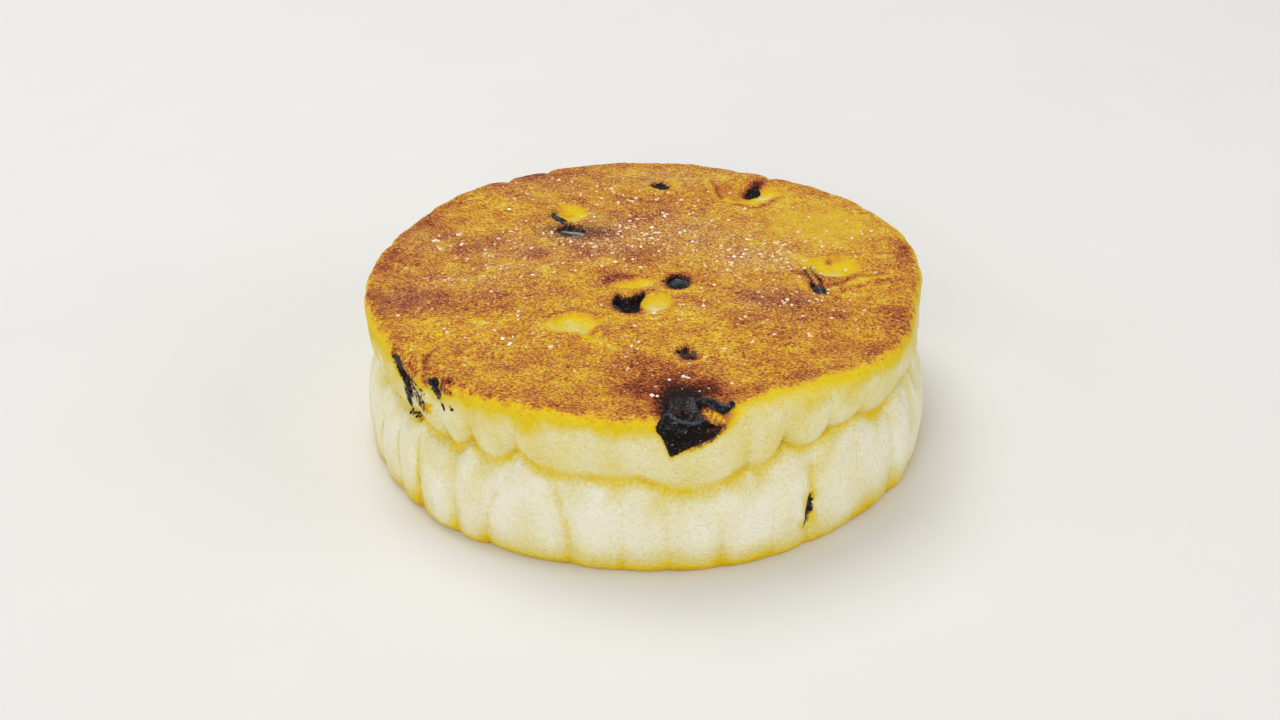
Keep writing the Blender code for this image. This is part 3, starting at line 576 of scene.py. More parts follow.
# Rows stand closer together near the crease
ROW_POWER = 1.25
foot_steps = np.linspace(0.0, FOOT_ROUND_RISE, FOOT_ROWS)[:, None] + 0.0 * crease
lower_steps = 1.0 - (1.0 - np.linspace(0.0, 1.0, LOWER_ROWS + 1)[1:, None]) ** ROW_POWER
upper_steps = np.linspace(0.0, 1.0, UPPER_ROWS + 1)[1:, None] ** ROW_POWER
wall_height = np.concatenate([
    foot_steps,
    FOOT_ROUND_RISE + (crease - FOOT_ROUND_RISE) * lower_steps,
    crease + (RIM_HEIGHT - crease) * upper_steps,
])
wall_radius = side_radius(np.broadcast_to(ring_bearing, wall_height.shape), wall_height)
rim_turn = np.linspace(0.0, math.pi / 2.0, RIM_ROWS + 1)[1:-1, None] + 0.0 * crease
rim_edge = side_radius(ring_bearing, np.full_like(ring_bearing, RIM_HEIGHT)) - RIM_ROUND
side_turn = np.concatenate([0.0 * wall_height, rim_turn])
side_height = np.concatenate([wall_height, RIM_HEIGHT + RIM_ROUND * np.sin(rim_turn)])
side_out = np.concatenate([wall_radius, rim_edge + RIM_ROUND * np.cos(rim_turn)])
side_bearing = np.broadcast_to(ring_bearing, side_height.shape)
# Distance down from the middle of the rounded rim, which is less than nothing on the flat of the crust
over_round = (math.pi / 4.0 - side_turn) * RIM_ROUND
side_down = np.where(side_turn > 0.0, over_round, ROUND_HALF + RIM_HEIGHT - side_height)

flat_radius = crust_share * np.interp(crust_bearing, ring_bearing, rim_edge, period=360.0)
crust = around_point(flat_radius, crust_bearing, 0.0 * flat_radius)
# The grid is drawn in towards the edge of each pit, by a square law within reach of it, so that the edge is
# clean. The way to the edge is the slope of the distance over a nudge.
PIT_REACH, NUDGE = 0.30, 0.001
for _, outline in PITS.values():
    off = outside(crust[:, 0], crust[:, 1], outline)
    slope_x = (outside(crust[:, 0] + NUDGE, crust[:, 1], outline) - off) / NUDGE
    slope_y = (outside(crust[:, 0], crust[:, 1] + NUDGE, outline) - off) / NUDGE
    move = np.where(np.abs(off) < PIT_REACH, off - off * np.abs(off) / PIT_REACH, 0.0)
    crust[:, 0] -= move * slope_x
    crust[:, 1] -= move * slope_y
crust[:, 2] = crust_height(crust[:, 0], crust[:, 1])
crust_inward = flat_radius / np.maximum(crust_share, 1e-6) - flat_radius
crust_inward[crust_share == 0.0] = RIM_RADIUS
crust_down = -crust_inward - ROUND_HALF
# The rounded rim follows the crust's edge up and down, and the wall below it does so less and less
rim_drop = crust[crust_ring, 2] - CAKE_HEIGHT
follow = smooth_step(CAKE_HEIGHT - 3.0 * RIM_ROUND, CAKE_HEIGHT, side_height)
side = around_point(side_out, side_bearing, side_height + follow * rim_drop)

# The underside hollows a little inside its edge, where the cake stands
UNDER_INSET = 0.35
UNDER_RISE, UNDER_WAVES = 0.10, ((0.10, 9.0, 21), (0.03, 2.4, 22))
under_share, under_bearing, under_faces, under_ring = disc_grid(UNDER_CELLS)
foot_radius = np.interp(under_bearing, ring_bearing, side_out[0], period=360.0) - UNDER_INSET
under = around_point(under_share * foot_radius, under_bearing, 0.0 * foot_radius)
hollow = np.maximum(0.0, UNDER_RISE + added_waves(under, UNDER_WAVES))
under[:, 2] = smooth_step(1.0, 0.85, under_share) * hollow

# The dough's own unevenness stands up from the crust and out from the side: soft swells, and finer ripples
# and crumb, each by the height, the length and the seed of its waves
SWELL_WAVES = ((0.055, 5.0, 11),)
FINE_WAVES = ((0.030, 1.7, 12), (0.018, 0.80, 13))


def unevenness(points, fine=1.0):
    """Height of the dough's own relief: its soft swells, and a share of its finer waves."""
    return added_waves(points, SWELL_WAVES) + fine * added_waves(points, FINE_WAVES)


# Share of the finer relief left on the side, which never met the griddle
SIDE_FINE = 0.30
straight_up = np.array([0.0, 0.0, 1.0])
side_way = around_point(np.cos(side_turn), side_bearing, 0.0) + np.sin(side_turn)[..., None] * straight_up
side_fine = SIDE_FINE + (1.0 - SIDE_FINE) * smooth_step(1.0, -0.8, side_down)
side = side + side_way * (unevenness(side, side_fine) * smooth_step(0.0, 1.5, side_height))[..., None]
for off, depth, _ in tear_places(side_bearing, side_down):
    side -= side_way * (depth * torn_away(off))[..., None]
crust[:, 2] += unevenness(crust)

# Where the browned crust ends: bearing, and distance down over the rim from the middle of its rounding
CRUST_EDGE = (
    (-70.0, -0.1), (-62.0, -0.2), (-59.0, 0.3), (-57.0, 1.4), (-54.0, 2.2), (-51.0, 1.9), (-48.0, 1.2),
    (-45.0, 1.3), (-42.0, 0.8), (-38.0, 0.1), (-34.0, 0.2), (-30.0, -0.3), (-26.0, -0.6), (-22.0, -0.2),
    (-18.0, -0.7), (-14.0, -0.4), (-10.0, -0.4), (-6.0, -0.1), (-2.0, -0.4), (2.0, -0.4), (10.0, -0.6),
    (16.0, -1.6), (22.0, -2.3), (26.0, -2.9), (30.0, -2.4), (34.0, -2.5), (38.0, -2.2), (42.0, -1.9),
    (46.0, -0.8), (50.0, -0.6), (54.0, -0.5), (58.0, -0.1), (62.0, -0.2), (66.0, 0.2), (72.0, 0.3),
    (78.0, 0.3), (95.0, -0.3), (112.0, -0.8), (128.0, -0.2), (149.0, -0.6), (165.0, 0.1), (185.0, -0.4),
    (203.0, 0.2), (222.0, -0.5), (245.0, 0.1), (262.0, -0.3), (278.0, 0.3),
)
# Width of the yellow band below the crust: bearing and width
YELLOW_BAND = (
    (-70.0, 2.8), (-62.0, 3.2), (-57.0, 1.3), (-48.0, 1.0), (-38.0, 1.5), (-34.0, 1.7), (-30.0, 2.7),
    (-26.0, 1.9), (-22.0, 2.1), (-14.0, 1.9), (-6.0, 1.5), (-2.0, 1.5), (10.0, 1.35), (18.0, 1.45),
    (26.0, 1.8), (30.0, 1.9), (38.0, 2.5), (46.0, 2.1), (54.0, 1.9), (62.0, 1.6), (72.0, 1.9), (90.0, 1.7),
    (120.0, 2.1), (160.0, 1.6), (200.0, 2.3), (240.0, 1.7), (270.0, 2.2),
)
# Darker and paler patches of the crust: x, y, half length, half width, turn, and change of browning
CRUST_PATCHES = (
    (-27.1, -6.8, 4.8, 3.0, 4.0, 0.22), (-17.6, -7.3, 7.0, 2.6, 2.0, 0.11),
    (-28.9, 2.7, 3.6, 3.0, 20.0, 0.15), (-25.3, 11.9, 3.0, 3.0, 0.0, 0.19),
    (-21.3, 6.4, 2.4, 1.9, 0.0, 0.17), (-16.7, 7.4, 4.6, 1.8, 0.0, 0.08), (-12.3, 4.5, 1.5, 1.6, 0.0, 0.18),
    (-8.2, 6.4, 2.6, 3.0, 0.0, 0.1), (-3.1, 9.5, 4.0, 8.0, 0.0, 0.1), (-12.0, 27.5, 6.5, 3.0, 14.0, 0.16),
    (2.2, 16.6, 3.6, 3.2, 0.0, 0.15), (0.4, 4.0, 1.6, 3.4, 0.0, 0.12), (13.9, -6.3, 3.6, 2.2, 0.0, 0.2),
    (17.4, -8.4, 4.6, 2.6, -10.0, 0.09), (9.6, -12.4, 1.4, 2.2, 0.0, 0.1),
    (17.9, -14.4, 8.6, 4.6, 20.0, 0.06), (30.9, 6.1, 1.2, 2.6, 0.0, 0.24),
    (28.1, -11.8, 2.2, 4.0, 24.0, 0.1), (-1.8, -21.4, 3.4, 3.6, 20.0, 0.085),
    (-14.0, -20.0, 6.0, 3.0, -20.0, 0.03), (-19.8, 16.6, 5.4, 2.4, 10.0, -0.06),
    (-21.8, -12.7, 8.6, 3.4, -6.0, -0.05), (11.4, 26.0, 6.0, 4.5, 0.0, -0.05),
    (22.7, 12.9, 9.0, 8.0, -30.0, -0.15), (5.9, -13.7, 4.6, 4.6, 0.0, -0.04),
    (26.8, -5.1, 4.4, 3.6, 0.0, -0.06), (-4.9, 29.0, 5.0, 2.0, 0.0, -0.1),
    (21.5, -2.4, 2.6, 1.3, 20.0, 0.14), (-5.6, 10.4, 2.4, 1.2, 0.0, 0.14),
)
# Spots inside the dents, laid over their even floors, in the same terms: partly brown spots of the dough's
# own colour, partly painted light, paler patches as painted highlights on the floors and browner ones as
# painted shade by the walls
DENT_SPOTS = (
    (-8.6, -13.2, 1.7, 0.8, 0.0, -0.13), (-9.6, -10.4, 1.6, 0.6, 0.0, 0.05),
    (-5.9, -14.1, 0.6, 0.45, 0.0, 0.3), (-7.9, -12.1, 2.3, 0.6, -64.0, -0.08),
    (1.0, -8.2, 1.1, 1.0, 0.0, -0.13), (0.6, -5.2, 1.0, 0.7, 0.0, 0.05), (-2.4, -1.3, 1.3, 0.9, 0.0, 0.3),
    (-4.3, -2.1, 1.1, 1.0, 0.0, 0.24), (0.4, -2.7, 1.2, 0.6, 0.0, -0.06), (-9.8, 16.6, 0.5, 0.4, 0.0, 0.18),
    (-9.2, 17.0, 0.4, 0.3, 0.0, 0.16), (-10.3, 17.2, 0.6, 0.4, 0.0, 0.16),
    (-9.8, 15.0, 0.9, 0.5, -40.0, 0.12), (21.6, 3.6, 0.4, 0.3, 0.0, 0.38), (22.4, 4.6, 2.4, 0.6, 0.0, 0.15),
    (22.6, 3.7, 1.4, 0.5, 0.0, 0.14), (21.6, 2.4, 0.5, 0.6, 0.0, 0.08), (23.6, 1.8, 0.5, 0.9, 0.0, 0.08),
    (22.1, 0.7, 1.8, 0.8, 0.0, -0.04), (18.2, 3.6, 1.8, 0.7, -49.0, -0.18),
    (18.0, -3.4, 1.9, 0.55, -65.0, -0.18), (18.3, 0.2, 1.0, 0.9, 0.0, 0.2),
    (19.9, 1.4, 0.7, 0.9, 0.0, 0.24), (20.2, -1.1, 0.8, 0.9, 0.0, 0.22), (19.0, -1.0, 0.6, 1.3, 0.0, 0.14),
    (9.0, 22.6, 2.2, 1.8, 0.0, 0.07), (11.3, 24.6, 3.0, 1.2, 0.0, 0.11), (14.7, 26.0, 1.1, 0.7, 0.0, 0.28),
    (12.7, 24.3, 0.6, 0.9, 0.0, 0.2), (15.2, 22.3, 1.7, 1.4, 20.0, -0.26),
    (3.9, 25.5, 1.0, 1.6, 0.0, -0.16),
)
# Browning of the plain crust
CRUST_TONE = 0.438
# The yellow band below the crust, and the browner edge of the crust: how much browner, how far in, and its
# width
BAND_TONE = 0.22
EDGE_BROWN, EDGE_BROWN_IN, EDGE_BROWN_WIDTH = 0.07, 1.2, 1.3
# The paler floor of a dent, and where it ends, as shares of the dent's size
DENT_TONE = 0.188
DENT_PALE = (0.60, 1.20)
# How far the browner dough reaches round a pit
PIT_BROWN_WIDTH = 0.45
# Waves that make the crust's edge ragged and the yellow band uneven, and the places past the edge, in
# millimetres, and past the band, in its widths, between which the one gives way to the next
EDGE_WAVES, BAND_WAVES = ((0.17, 1.6, 31), (0.17, 0.7, 32)), ((0.25, 5.0, 33),)
EDGE_FADE, BAND_FADE = (-0.60, 0.75), (0.38, 1.68)
# The most that the side's own tone may reach, and how pale its two tiers are
PALE_MOST = 0.195
UPPER_SIDE_TONE = 0.075
LOWER_SIDE_TONE = 0.014
# Browner specks and smears on the side: bearing, distance down, half length, half width, turn, and change of
# browning
SIDE_PATCHES = (
    (31.2, 13.4, 2.0, 0.6, -70.0, 0.24), (29.8, 14.9, 0.9, 0.5, -60.0, 0.16),
    (32.0, 11.8, 0.5, 0.5, 0.0, 0.2), (31.9, 10.4, 1.6, 0.5, -80.0, 0.07),
    (-45.4, 4.0, 0.4, 0.2, 20.0, 0.3), (-46.8, 4.6, 0.7, 0.4, 0.0, 0.5), (-51.8, 7.6, 0.9, 0.4, 0.0, 0.26),
    (-41.2, 0.3, 0.3, 0.7, 0.0, 0.44), (-40.0, 0.7, 0.4, 0.3, 0.0, 0.38), (-38.6, 0.7, 0.5, 0.3, 0.0, 0.34),
    (-40.1, -0.4, 0.4, 0.4, 0.0, 0.38), (-49.4, 1.5, 1.0, 0.2, 12.0, 0.3),
    (21.5, 17.2, 3.6, 1.2, 0.0, 0.08), (-48.3, 13.2, 0.7, 2.2, 0.0, 0.12),
)
# Yellow-brown stains at the foot of the side: bearing, half width, and strength
FOOT_STAINS = (
    (-48.6, 2.0, 0.16), (-38.0, 1.6, 0.1), (-31.0, 2.2, 0.09), (-14.0, 1.6, 0.05), (-4.0, 1.5, 0.05),
    (5.5, 3.4, 0.1), (13.5, 1.5, 0.05), (32.0, 3.0, 0.04), (46.0, 3.6, 0.13), (56.0, 1.6, 0.07),
)


def crust_tone(x, y):
    """Browning of the crust: an even tone, bell-shaped patches, paler floors in dents, and fine lines."""
    tone = sum(bells(x, y, CRUST_PATCHES), np.full_like(x, CRUST_TONE))
    for dent in DENTS:
        tone += (DENT_TONE - tone) * dent[6] * in_dent(x, y, dent, *DENT_PALE)
    # Spots in the dents, partly the dough's own colour and partly painted highlights and shade
    tone = sum(bells(x, y, DENT_SPOTS), tone)
    # Paler along a raised lip, a painted highlight, and browner along a sunk line, painted shade
    for points, half_width, _, change in CRUST_LINES:
        tone += change * bell(line_distance(x, y, points), half_width)
    for browner, outline in PITS.values():
        tone += browner * bell(np.maximum(outside(x, y, outline), 0.0), PIT_BROWN_WIDTH)
    return tone


def over_edge(tone, bearing, down, points):
    """Carries the tone over the edge of the crust: browner just inside it, then yellow, then the pale side.

    Also returns how far past the edge a place is. The edge is ragged, and the band's width uneven, by waves.
    """
    past = down - by_bearing(CRUST_EDGE, bearing) + added_waves(points, EDGE_WAVES)
    band = by_bearing(YELLOW_BAND, bearing) * (1.0 + added_waves(points, BAND_WAVES))
    inside = tone + EDGE_BROWN * bell(past + EDGE_BROWN_IN, EDGE_BROWN_WIDTH)
    below = UPPER_SIDE_TONE + (BAND_TONE - UPPER_SIDE_TONE) * (1.0 - smooth_step(*BAND_FADE, past / band))
    return inside + (below - inside) * smooth_step(*EDGE_FADE, past), past


# Burnt dough round the raisin, in the terms of the crust's patches
HALO = (
    (3.2, -26.6, 3.6, 1.9, 0.0, 0.3), (0.4, -25.4, 4.6, 3.2, 0.0, 0.17), (3.4, -22.8, 3.4, 2.4, 0.0, 0.13),
    (6.2, -26.1, 2.2, 2.1, 0.0, 0.3),
)
# Middle and outline of the large raisin on the front rim: arc along the rim and distance down over it
RAISIN_CENTRE = (4.2, 0.5)
RAISIN_OUTLINE = (
    (2.5, 4.0), (2.1, 3.1), (1.8, 2.1), (1.3, 1.2), (0.9, 0.6), (1.4, -0.3), (1.9, -1.1), (2.2, -1.9),
    (2.1, -2.9), (2.6, -3.9), (3.6, -4.5), (4.9, -4.4), (5.7, -3.6), (5.9, -2.2), (5.5, -0.8), (5.8, 0.0),
    (6.4, 0.5), (7.0, 0.8), (7.6, 1.0), (7.2, 1.6), (6.6, 2.1), (5.7, 2.5), (4.6, 2.9), (3.6, 3.4),
    (3.0, 3.8),
)
# Dough burnt along the raisin's edge: how brown it is, and the waves in that; then how much of it there is,
# and how wide it is, everywhere, besides on the crust, and besides at the raisin's torn right end
BURNT_TONE, BURNT_WAVES = 0.60, ((0.20, 0.9, 54),)
BURNT_SHARES = (0.22, 0.78, 0.50)
BURNT_WIDTHS = (0.25, 0.90, 0.20)
# How deep the raisin is pressed into the dough, and how far its burnt edge stains the dough round it
RAISIN_BED = 0.35
RAISIN_SMEAR = 0.06
# The brown bay of torn dough between the raisin and its curl of skin, as a patch in arc and distance down,
# and the pale strands across it. Its brown is partly the torn dough's own and partly painted shade between
# the raisin and the curl
BAY = ((6.8, -0.2, 1.5, 1.3, 0.0, 1.0),)
BAY_TONE = 0.72
BAY_STRANDS = (
    ((5.7, -0.3), (5.9, 0.1), (6.2, 0.5)),
    ((6.1, -1.2), (6.3, -0.4), (6.7, 0.5)),
    ((6.5, -1.4), (6.8, -0.5), (7.1, 0.5)),
    ((7.0, -1.2), (7.2, -0.4), (7.6, 0.5)),
    ((7.4, -0.6), (7.6, -0.1), (8.0, 0.4)),
)
STRAND_WIDTH, STRAND_TONE, STRAND_SHARE = 0.16, 0.12, 0.80

crust_arc = np.radians(crust_bearing) * RIM_RADIUS
side_arc = np.radians(side_bearing) * RIM_RADIUS
crust_off = outside(crust_arc, crust_down, RAISIN_OUTLINE)
side_off = outside(side_arc, side_down, RAISIN_OUTLINE)
crust[:, 2] -= RAISIN_BED * torn_away(crust_off)
side -= side_way * (RAISIN_BED * torn_away(side_off))[..., None]
crust_x, crust_y = crust[:, 0], crust[:, 1]
crust_browning, crust_past = over_edge(crust_tone(crust_x, crust_y), crust_bearing, crust_down, crust)
rim_browning, rim_past = over_edge(crust_tone(side[..., 0], side[..., 1]), side_bearing, side_down, side)

# The side is palest on its lobes, yellower in its grooves and its crease, and yellowest at the foot: each
# tone with how far it reaches
GROOVE_FULL = 0.5
LOWER_GROOVE_TONE, UPPER_GROOVE_TONE = 0.10, 0.06
CREASE_TONE, CREASE_REACH = 0.125, 0.65
UNDER_CREASE_TONE, UNDER_CREASE_REACH = 0.050, 1.8
FOOT_TONE, FOOT_REACH = 0.105, 2.4
HEEL_TONE, HEEL_REACH = 0.15, 0.9
STAIN_RISE = 3.2
# Its unevenness, each by the height, the length and the seed of its waves
MOTTLE_WAVES, SIDE_WAVES = ((0.5, 3.0, 41),), ((0.022, 4.5, 44),)
CREASE_WAVES, FOOT_WAVES = ((0.030, 4.0, 42),), ((0.030, 6.0, 43),)

line_of_crease = crease_height(side_bearing)
from_crease = side_height - line_of_crease
tier_share = smooth_step(-0.6, 0.6, from_crease)
low_groove, low_depth = lower_grooves(side_bearing, side_height, line_of_crease)
high_groove, high_depth = upper_grooves(side_bearing, side_height, line_of_crease)
low_stain, high_stain = low_groove**4, high_groove**3
mottle = np.clip(0.5 + added_waves(side, MOTTLE_WAVES), 0.0, 1.4)
low_full, high_full = (np.minimum(depth / GROOVE_FULL, 1.0) for depth in (low_depth, high_depth))
low_tone = LOWER_SIDE_TONE + LOWER_GROOVE_TONE * low_full * low_stain * (0.40 + 0.8 * mottle)
high_tone = UPPER_SIDE_TONE + UPPER_GROOVE_TONE * high_full * high_stain * (0.30 + mottle)
pale = low_tone + (high_tone - low_tone) * tier_share
pale += (CREASE_TONE + added_waves(side, CREASE_WAVES)) * bell(from_crease + 0.1, CREASE_REACH)
pale += UNDER_CREASE_TONE * bell(from_crease + 1.4, UNDER_CREASE_REACH) * mottle
pale += added_waves(side * np.array([1.0, 1.0, 0.5]), SIDE_WAVES)
pale += (FOOT_TONE + added_waves(side, FOOT_WAVES)) * bell(side_height, FOOT_REACH)
pale += HEEL_TONE * bell(side_height, HEEL_REACH)
pale = np.minimum(pale, PALE_MOST)
for bearing, half_width, strength in FOOT_STAINS:
    pale += strength * bell(wrapped(side_bearing - bearing), half_width) * bell(side_height, STAIN_RISE)


def on_side(patches):
    """Patches given by bearing and distance down, turned into patches in arc and distance up."""
    return [(math.radians(bearing) * RIM_RADIUS, -down, *rest) for bearing, down, *rest in patches]


side_browning = rim_browning + (pale - UPPER_SIDE_TONE) * smooth_step(0.4, 2.6, rim_past)
side_browning = sum(bells(side_arc, -side_down, on_side(SIDE_PATCHES)), side_browning)
for browning, points, arc, down, off, past in (
    (crust_browning, crust, crust_arc, crust_down, crust_off, crust_past),
    (side_browning, side, side_arc, side_down, side_off, rim_past),
):
    browning += sum(bells(points[..., 0], points[..., 1], HALO)) * (1.0 - smooth_step(-0.3, 0.8, past))
    on_crust = smooth_step(-0.2, -1.6, down)
    torn_end = smooth_step(3.0, 5.2, arc) * smooth_step(0.2, 1.0, down)
    share, width = np.tensordot([BURNT_SHARES, BURNT_WIDTHS], [np.ones_like(off), on_crust, torn_end], 1)
    burnt = BURNT_TONE + added_waves(np.stack([arc, down, down], axis=-1), BURNT_WAVES)
    browning += burnt * share * bell(np.maximum(off, 0.0), width)
    in_bay = sum(bells(arc, down, BAY))
    strands = strongest(bell(line_distance(arc, down, strand), STRAND_WIDTH) for strand in BAY_STRANDS)
    # The bay's brown, partly painted shade between the raisin and its curl, with the pale strands over it
    browning += (BAY_TONE - browning) * np.minimum(1.6 * in_bay, 1.0)
    browning += (STRAND_TONE - browning) * STRAND_SHARE * strands * np.minimum(1.4 * in_bay, 1.0)

# The underside is browned a little more evenly than the top, and paler at its edge
UNDER_BROWNER, UNDER_EDGE_TONE = 0.06, 0.30
UNDER_TONE_WAVES = ((0.09, 15.0, 51), (0.06, 5.0, 52))
# A browner ring inside its edge: how much browner, how far in, and its half width
RING_BROWN, RING_IN, RING_WIDTH = 0.05, 2.4, 1.6
under_inset = (1.0 - under_share) * BELLY_RADIUS
under_tone = CRUST_TONE + UNDER_BROWNER + added_waves(under, UNDER_TONE_WAVES)
under_tone += RING_BROWN * bell(under_inset - RING_IN, RING_WIDTH)
under_edge = smooth_step(0.3, 1.6, under_inset + 0.3 * waves(under, 1.8, 53))
under_browning = UNDER_EDGE_TONE + (under_tone - UNDER_EDGE_TONE) * under_edge

# Threads and spots of currant skin left in the torn dough: points by bearing and distance down, half
# width, and how solid each is; then those in the crust, by x and y. The dark lines along the slits in the
# side are partly painted shade in their gaps.
SIDE_MARKS = (
    (((-53.6, 4.4), (-54.4, 5.6), (-55.4, 6.8), (-56.0, 8.0), (-54.4, 7.7), (-52.6, 7.3)), 0.16, 1.00),
    (((-51.3, 1.8), (-49.9, 1.8), (-48.1, 1.9), (-47.2, 2.3), (-46.4, 2.7)), 0.15, 0.92),
    (((-50.9, 2.1), (-49.9, 2.5), (-48.6, 2.8), (-48.1, 3.4), (-47.7, 4.1)), 0.16, 0.95),
    (((-50.9, 2.7), (-50.4, 3.4), (-50.9, 4.2)), 0.17, 0.95),
    (((-49.7, 2.8), (-49.4, 3.0)), 0.18, 1.00),
    (((-47.9, 2.7), (-47.5, 2.8)), 0.12, 0.84),
    (((-49.2, 3.5), (-49.0, 3.8)), 0.16, 1.00),
    (((-48.2, 4.3), (-47.8, 4.5)), 0.20, 1.00),
    (((-46.9, 3.7), (-46.6, 4.0)), 0.20, 0.94),
    (((-47.4, 4.9), (-47.0, 5.1)), 0.12, 0.80),
    (((-46.0, 4.2), (-45.0, 3.9)), 0.10, 0.80),
    (((-53.2, 7.7), (-52.2, 7.5), (-51.3, 7.7)), 0.22, 0.78),
    (((-47.1, 0.4), (-46.9, 0.5)), 0.14, 0.95),
    (((-46.2, 0.0), (-45.0, 0.8), (-44.0, 1.5), (-42.9, 1.8), (-42.2, 2.4)), 0.10, 0.95),
    (((-42.0, 2.4), (-41.3, 2.5)), 0.07, 0.85),
    (((-40.9, 2.7), (-40.5, 3.2)), 0.24, 1.00),
    (((-38.7, 2.5), (-38.2, 2.7)), 0.26, 1.00),
    (((-39.9, -0.5), (-39.7, -0.2)), 0.22, 0.78),
    (((-41.2, 0.2), (-40.8, 0.8), (-39.8, 0.7)), 0.12, 0.74),
    (((31.6, 11.4), (32.3, 11.9), (31.9, 12.4)), 0.10, 0.90),
    (((30.0, 14.9), (29.6, 15.6)), 0.12, 0.84),
    (((32.4, 14.6), (32.6, 14.9)), 0.10, 0.76),
    (((26.9, 14.1), (27.1, 14.4)), 0.10, 0.80),
    (((-48.2, 13.4), (-48.1, 14.2)), 0.16, 0.90),
    (((-38.7, 15.3), (-38.6, 15.7)), 0.13, 0.84),
    (((-37.2, 9.6), (-37.1, 9.9)), 0.10, 0.74),
    (((96.0, 9.0), (97.0, 9.6)), 0.18, 0.85),
    (((-160.0, 5.0), (-159.0, 5.6)), 0.22, 0.85),
    (((118.0, 12.0), (118.6, 12.8)), 0.16, 0.85),
)
CRUST_MARKS = (
    (((18.5, 0.5), (18.8, -1.3), (19.2, -3.0)), 0.20, 0.88),
    (((19.3, 0.6), (19.7, -1.1), (20.2, -2.8)), 0.21, 0.88),
    (((19.4, 1.7), (19.6, 2.2)), 0.26, 0.95),
    (((-9.6, 12.9), (-8.6, 12.9), (-7.8, 12.3)), 0.12, 0.90),
    (((4.3, -16.9), (4.2, -17.6), (3.8, -18.4)), 0.10, 0.80),
    (((14.6, 25.4), (15.2, 26.0)), 0.08, 0.80),
    (((14.7, 24.6), (15.4, 24.9)), 0.08, 0.80),
)
# Patches of dried skin in the side, by bearing and distance down, in the terms of those on the crust
SIDE_SKIN = (
    (-56.0, 1.1, 1.2, 0.7, -30.0, 1.0), (-44.1, 0.8, 0.8, 0.8, 0.0, 1.0),
    (-53.0, 3.6, 2.2, 1.4, -60.0, -0.35), (-42.4, 2.0, 1.2, 0.7, -40.0, -0.5),
    (31.4, 12.9, 0.5, 0.3, -60.0, 0.6), (30.9, 14.0, 1.0, 0.5, -60.0, -0.6),
)
# Grey-brown bloom where currant skin lies just under the dough: on the crust x, y, half length, half
# width, turn and strength; on the side bearing and distance down, and the same
CRUST_BLOOM = (
    (-8.2, 10.6, 4.6, 2.0, -8.0, 1.45), (-10.7, 15.2, 2.8, 1.0, -59.0, 0.8),
    (18.7, -0.4, 1.8, 0.9, -75.0, 0.6), (19.9, -1.0, 0.8, 0.5, -75.0, 0.55),
    (4.3, -18.6, 1.8, 1.4, 0.0, 0.5), (-4.8, -0.9, 1.3, 1.1, 0.0, 0.35),
)
SIDE_BLOOM = (
    (-50.6, 3.0, 1.6, 1.2, 120.0, 1.0), (-48.0, 3.8, 1.8, 1.0, 120.0, 0.9),
    (-46.6, 4.4, 0.9, 0.7, 90.0, 0.5), (-42.2, 1.2, 1.6, 0.9, 110.0, 0.6),
    (-40.6, 0.5, 0.7, 0.8, 90.0, 0.55), (-51.6, 7.2, 0.8, 0.6, 90.0, 0.6),
    (31.0, 13.5, 2.0, 0.5, 76.0, 0.7), (152.0, 3.5, 3.0, 1.3, 110.0, 0.5),
    (-118.0, 12.5, 3.2, 1.0, 76.0, 0.5),
)
# Where melted sugar left a pale frost on the crust: x, y, half length, half width, turn and strength
FROST = (
    (-19.5, -2.0, 9.0, 4.5, 0.0, 0.6), (-15.0, 5.5, 8.0, 6.0, 0.0, 0.7), (-5.5, 9.5, 8.0, 6.5, 0.0, 1.0),
    (5.0, 10.0, 9.0, 7.0, 0.0, 0.85), (13.0, 3.8, 6.5, 4.0, 0.0, 1.05), (14.0, -7.0, 6.0, 4.0, 0.0, 0.6),
    (-26.5, -6.5, 4.5, 3.0, 0.0, 0.7), (-26.0, 8.0, 4.0, 5.0, 0.0, 0.6),
    (-12.0, 25.0, 8.0, 4.0, 10.0, 0.55), (20.0, 12.0, 9.0, 8.0, 0.0, 0.35),
    (3.0, 27.0, 9.0, 3.0, 0.0, 0.85),
)
# How wide the edge of a stain and of painted shade is, and between which shares of a dent's size its calm
# floor ends
DARK_FADE = 0.6
DENT_CALM = (0.75, 1.30)


def stain_and_shade_fade(off):
    """Stain and painted shade at a distance outside an edge: half on it, and falling evenly to either side.
    """
    return np.clip(0.5 - off / DARK_FADE, 0.0, 1.0)


def marks_at(x, y, marks):
    """The dark of each thread or spot, partly painted shade along the slits: solid inside its half width."""
    for points, half_width, solid in marks:
        yield solid * stain_and_shade_fade(line_distance(x, y, points) - half_width)


# Near-black over threads of currant skin and the raisin's burnt edge, and over the pits and tears, where it
# is partly painted shade on their walls and floors
crust_dark_and_shade = strongest([
    stain_and_shade_fade(crust_off - RAISIN_SMEAR),
    *(stain_and_shade_fade(2.0 * off) for off, _, _ in pit_places(crust_x, crust_y)),
    *marks_at(crust_x, crust_y, CRUST_MARKS),
])
side_dark_and_shade = strongest([
    stain_and_shade_fade(side_off - RAISIN_SMEAR),
    *(solid * stain_and_shade_fade(off) for off, _, solid in tear_places(side_bearing, side_down)),
    *marks_at(side_arc, side_down, [(on_arc(points), *rest) for points, *rest in SIDE_MARKS]),
])
crust_skin = dried_skin(crust_x, crust_y, CRUST_SKIN)
side_skin = dried_skin(side_arc, -side_down, on_side(SIDE_SKIN))
crust_bloom = strongest(bells(crust_x, crust_y, CRUST_BLOOM))
smear = 0.35 + 0.65 * smooth_step(3.0, 5.2, side_arc)
side_bloom = strongest([
    *bells(side_arc, -side_down, on_side(SIDE_BLOOM)),
    0.9 * smear * bell(np.maximum(side_off, 0.0), 0.20 + 0.30 * smear),
])
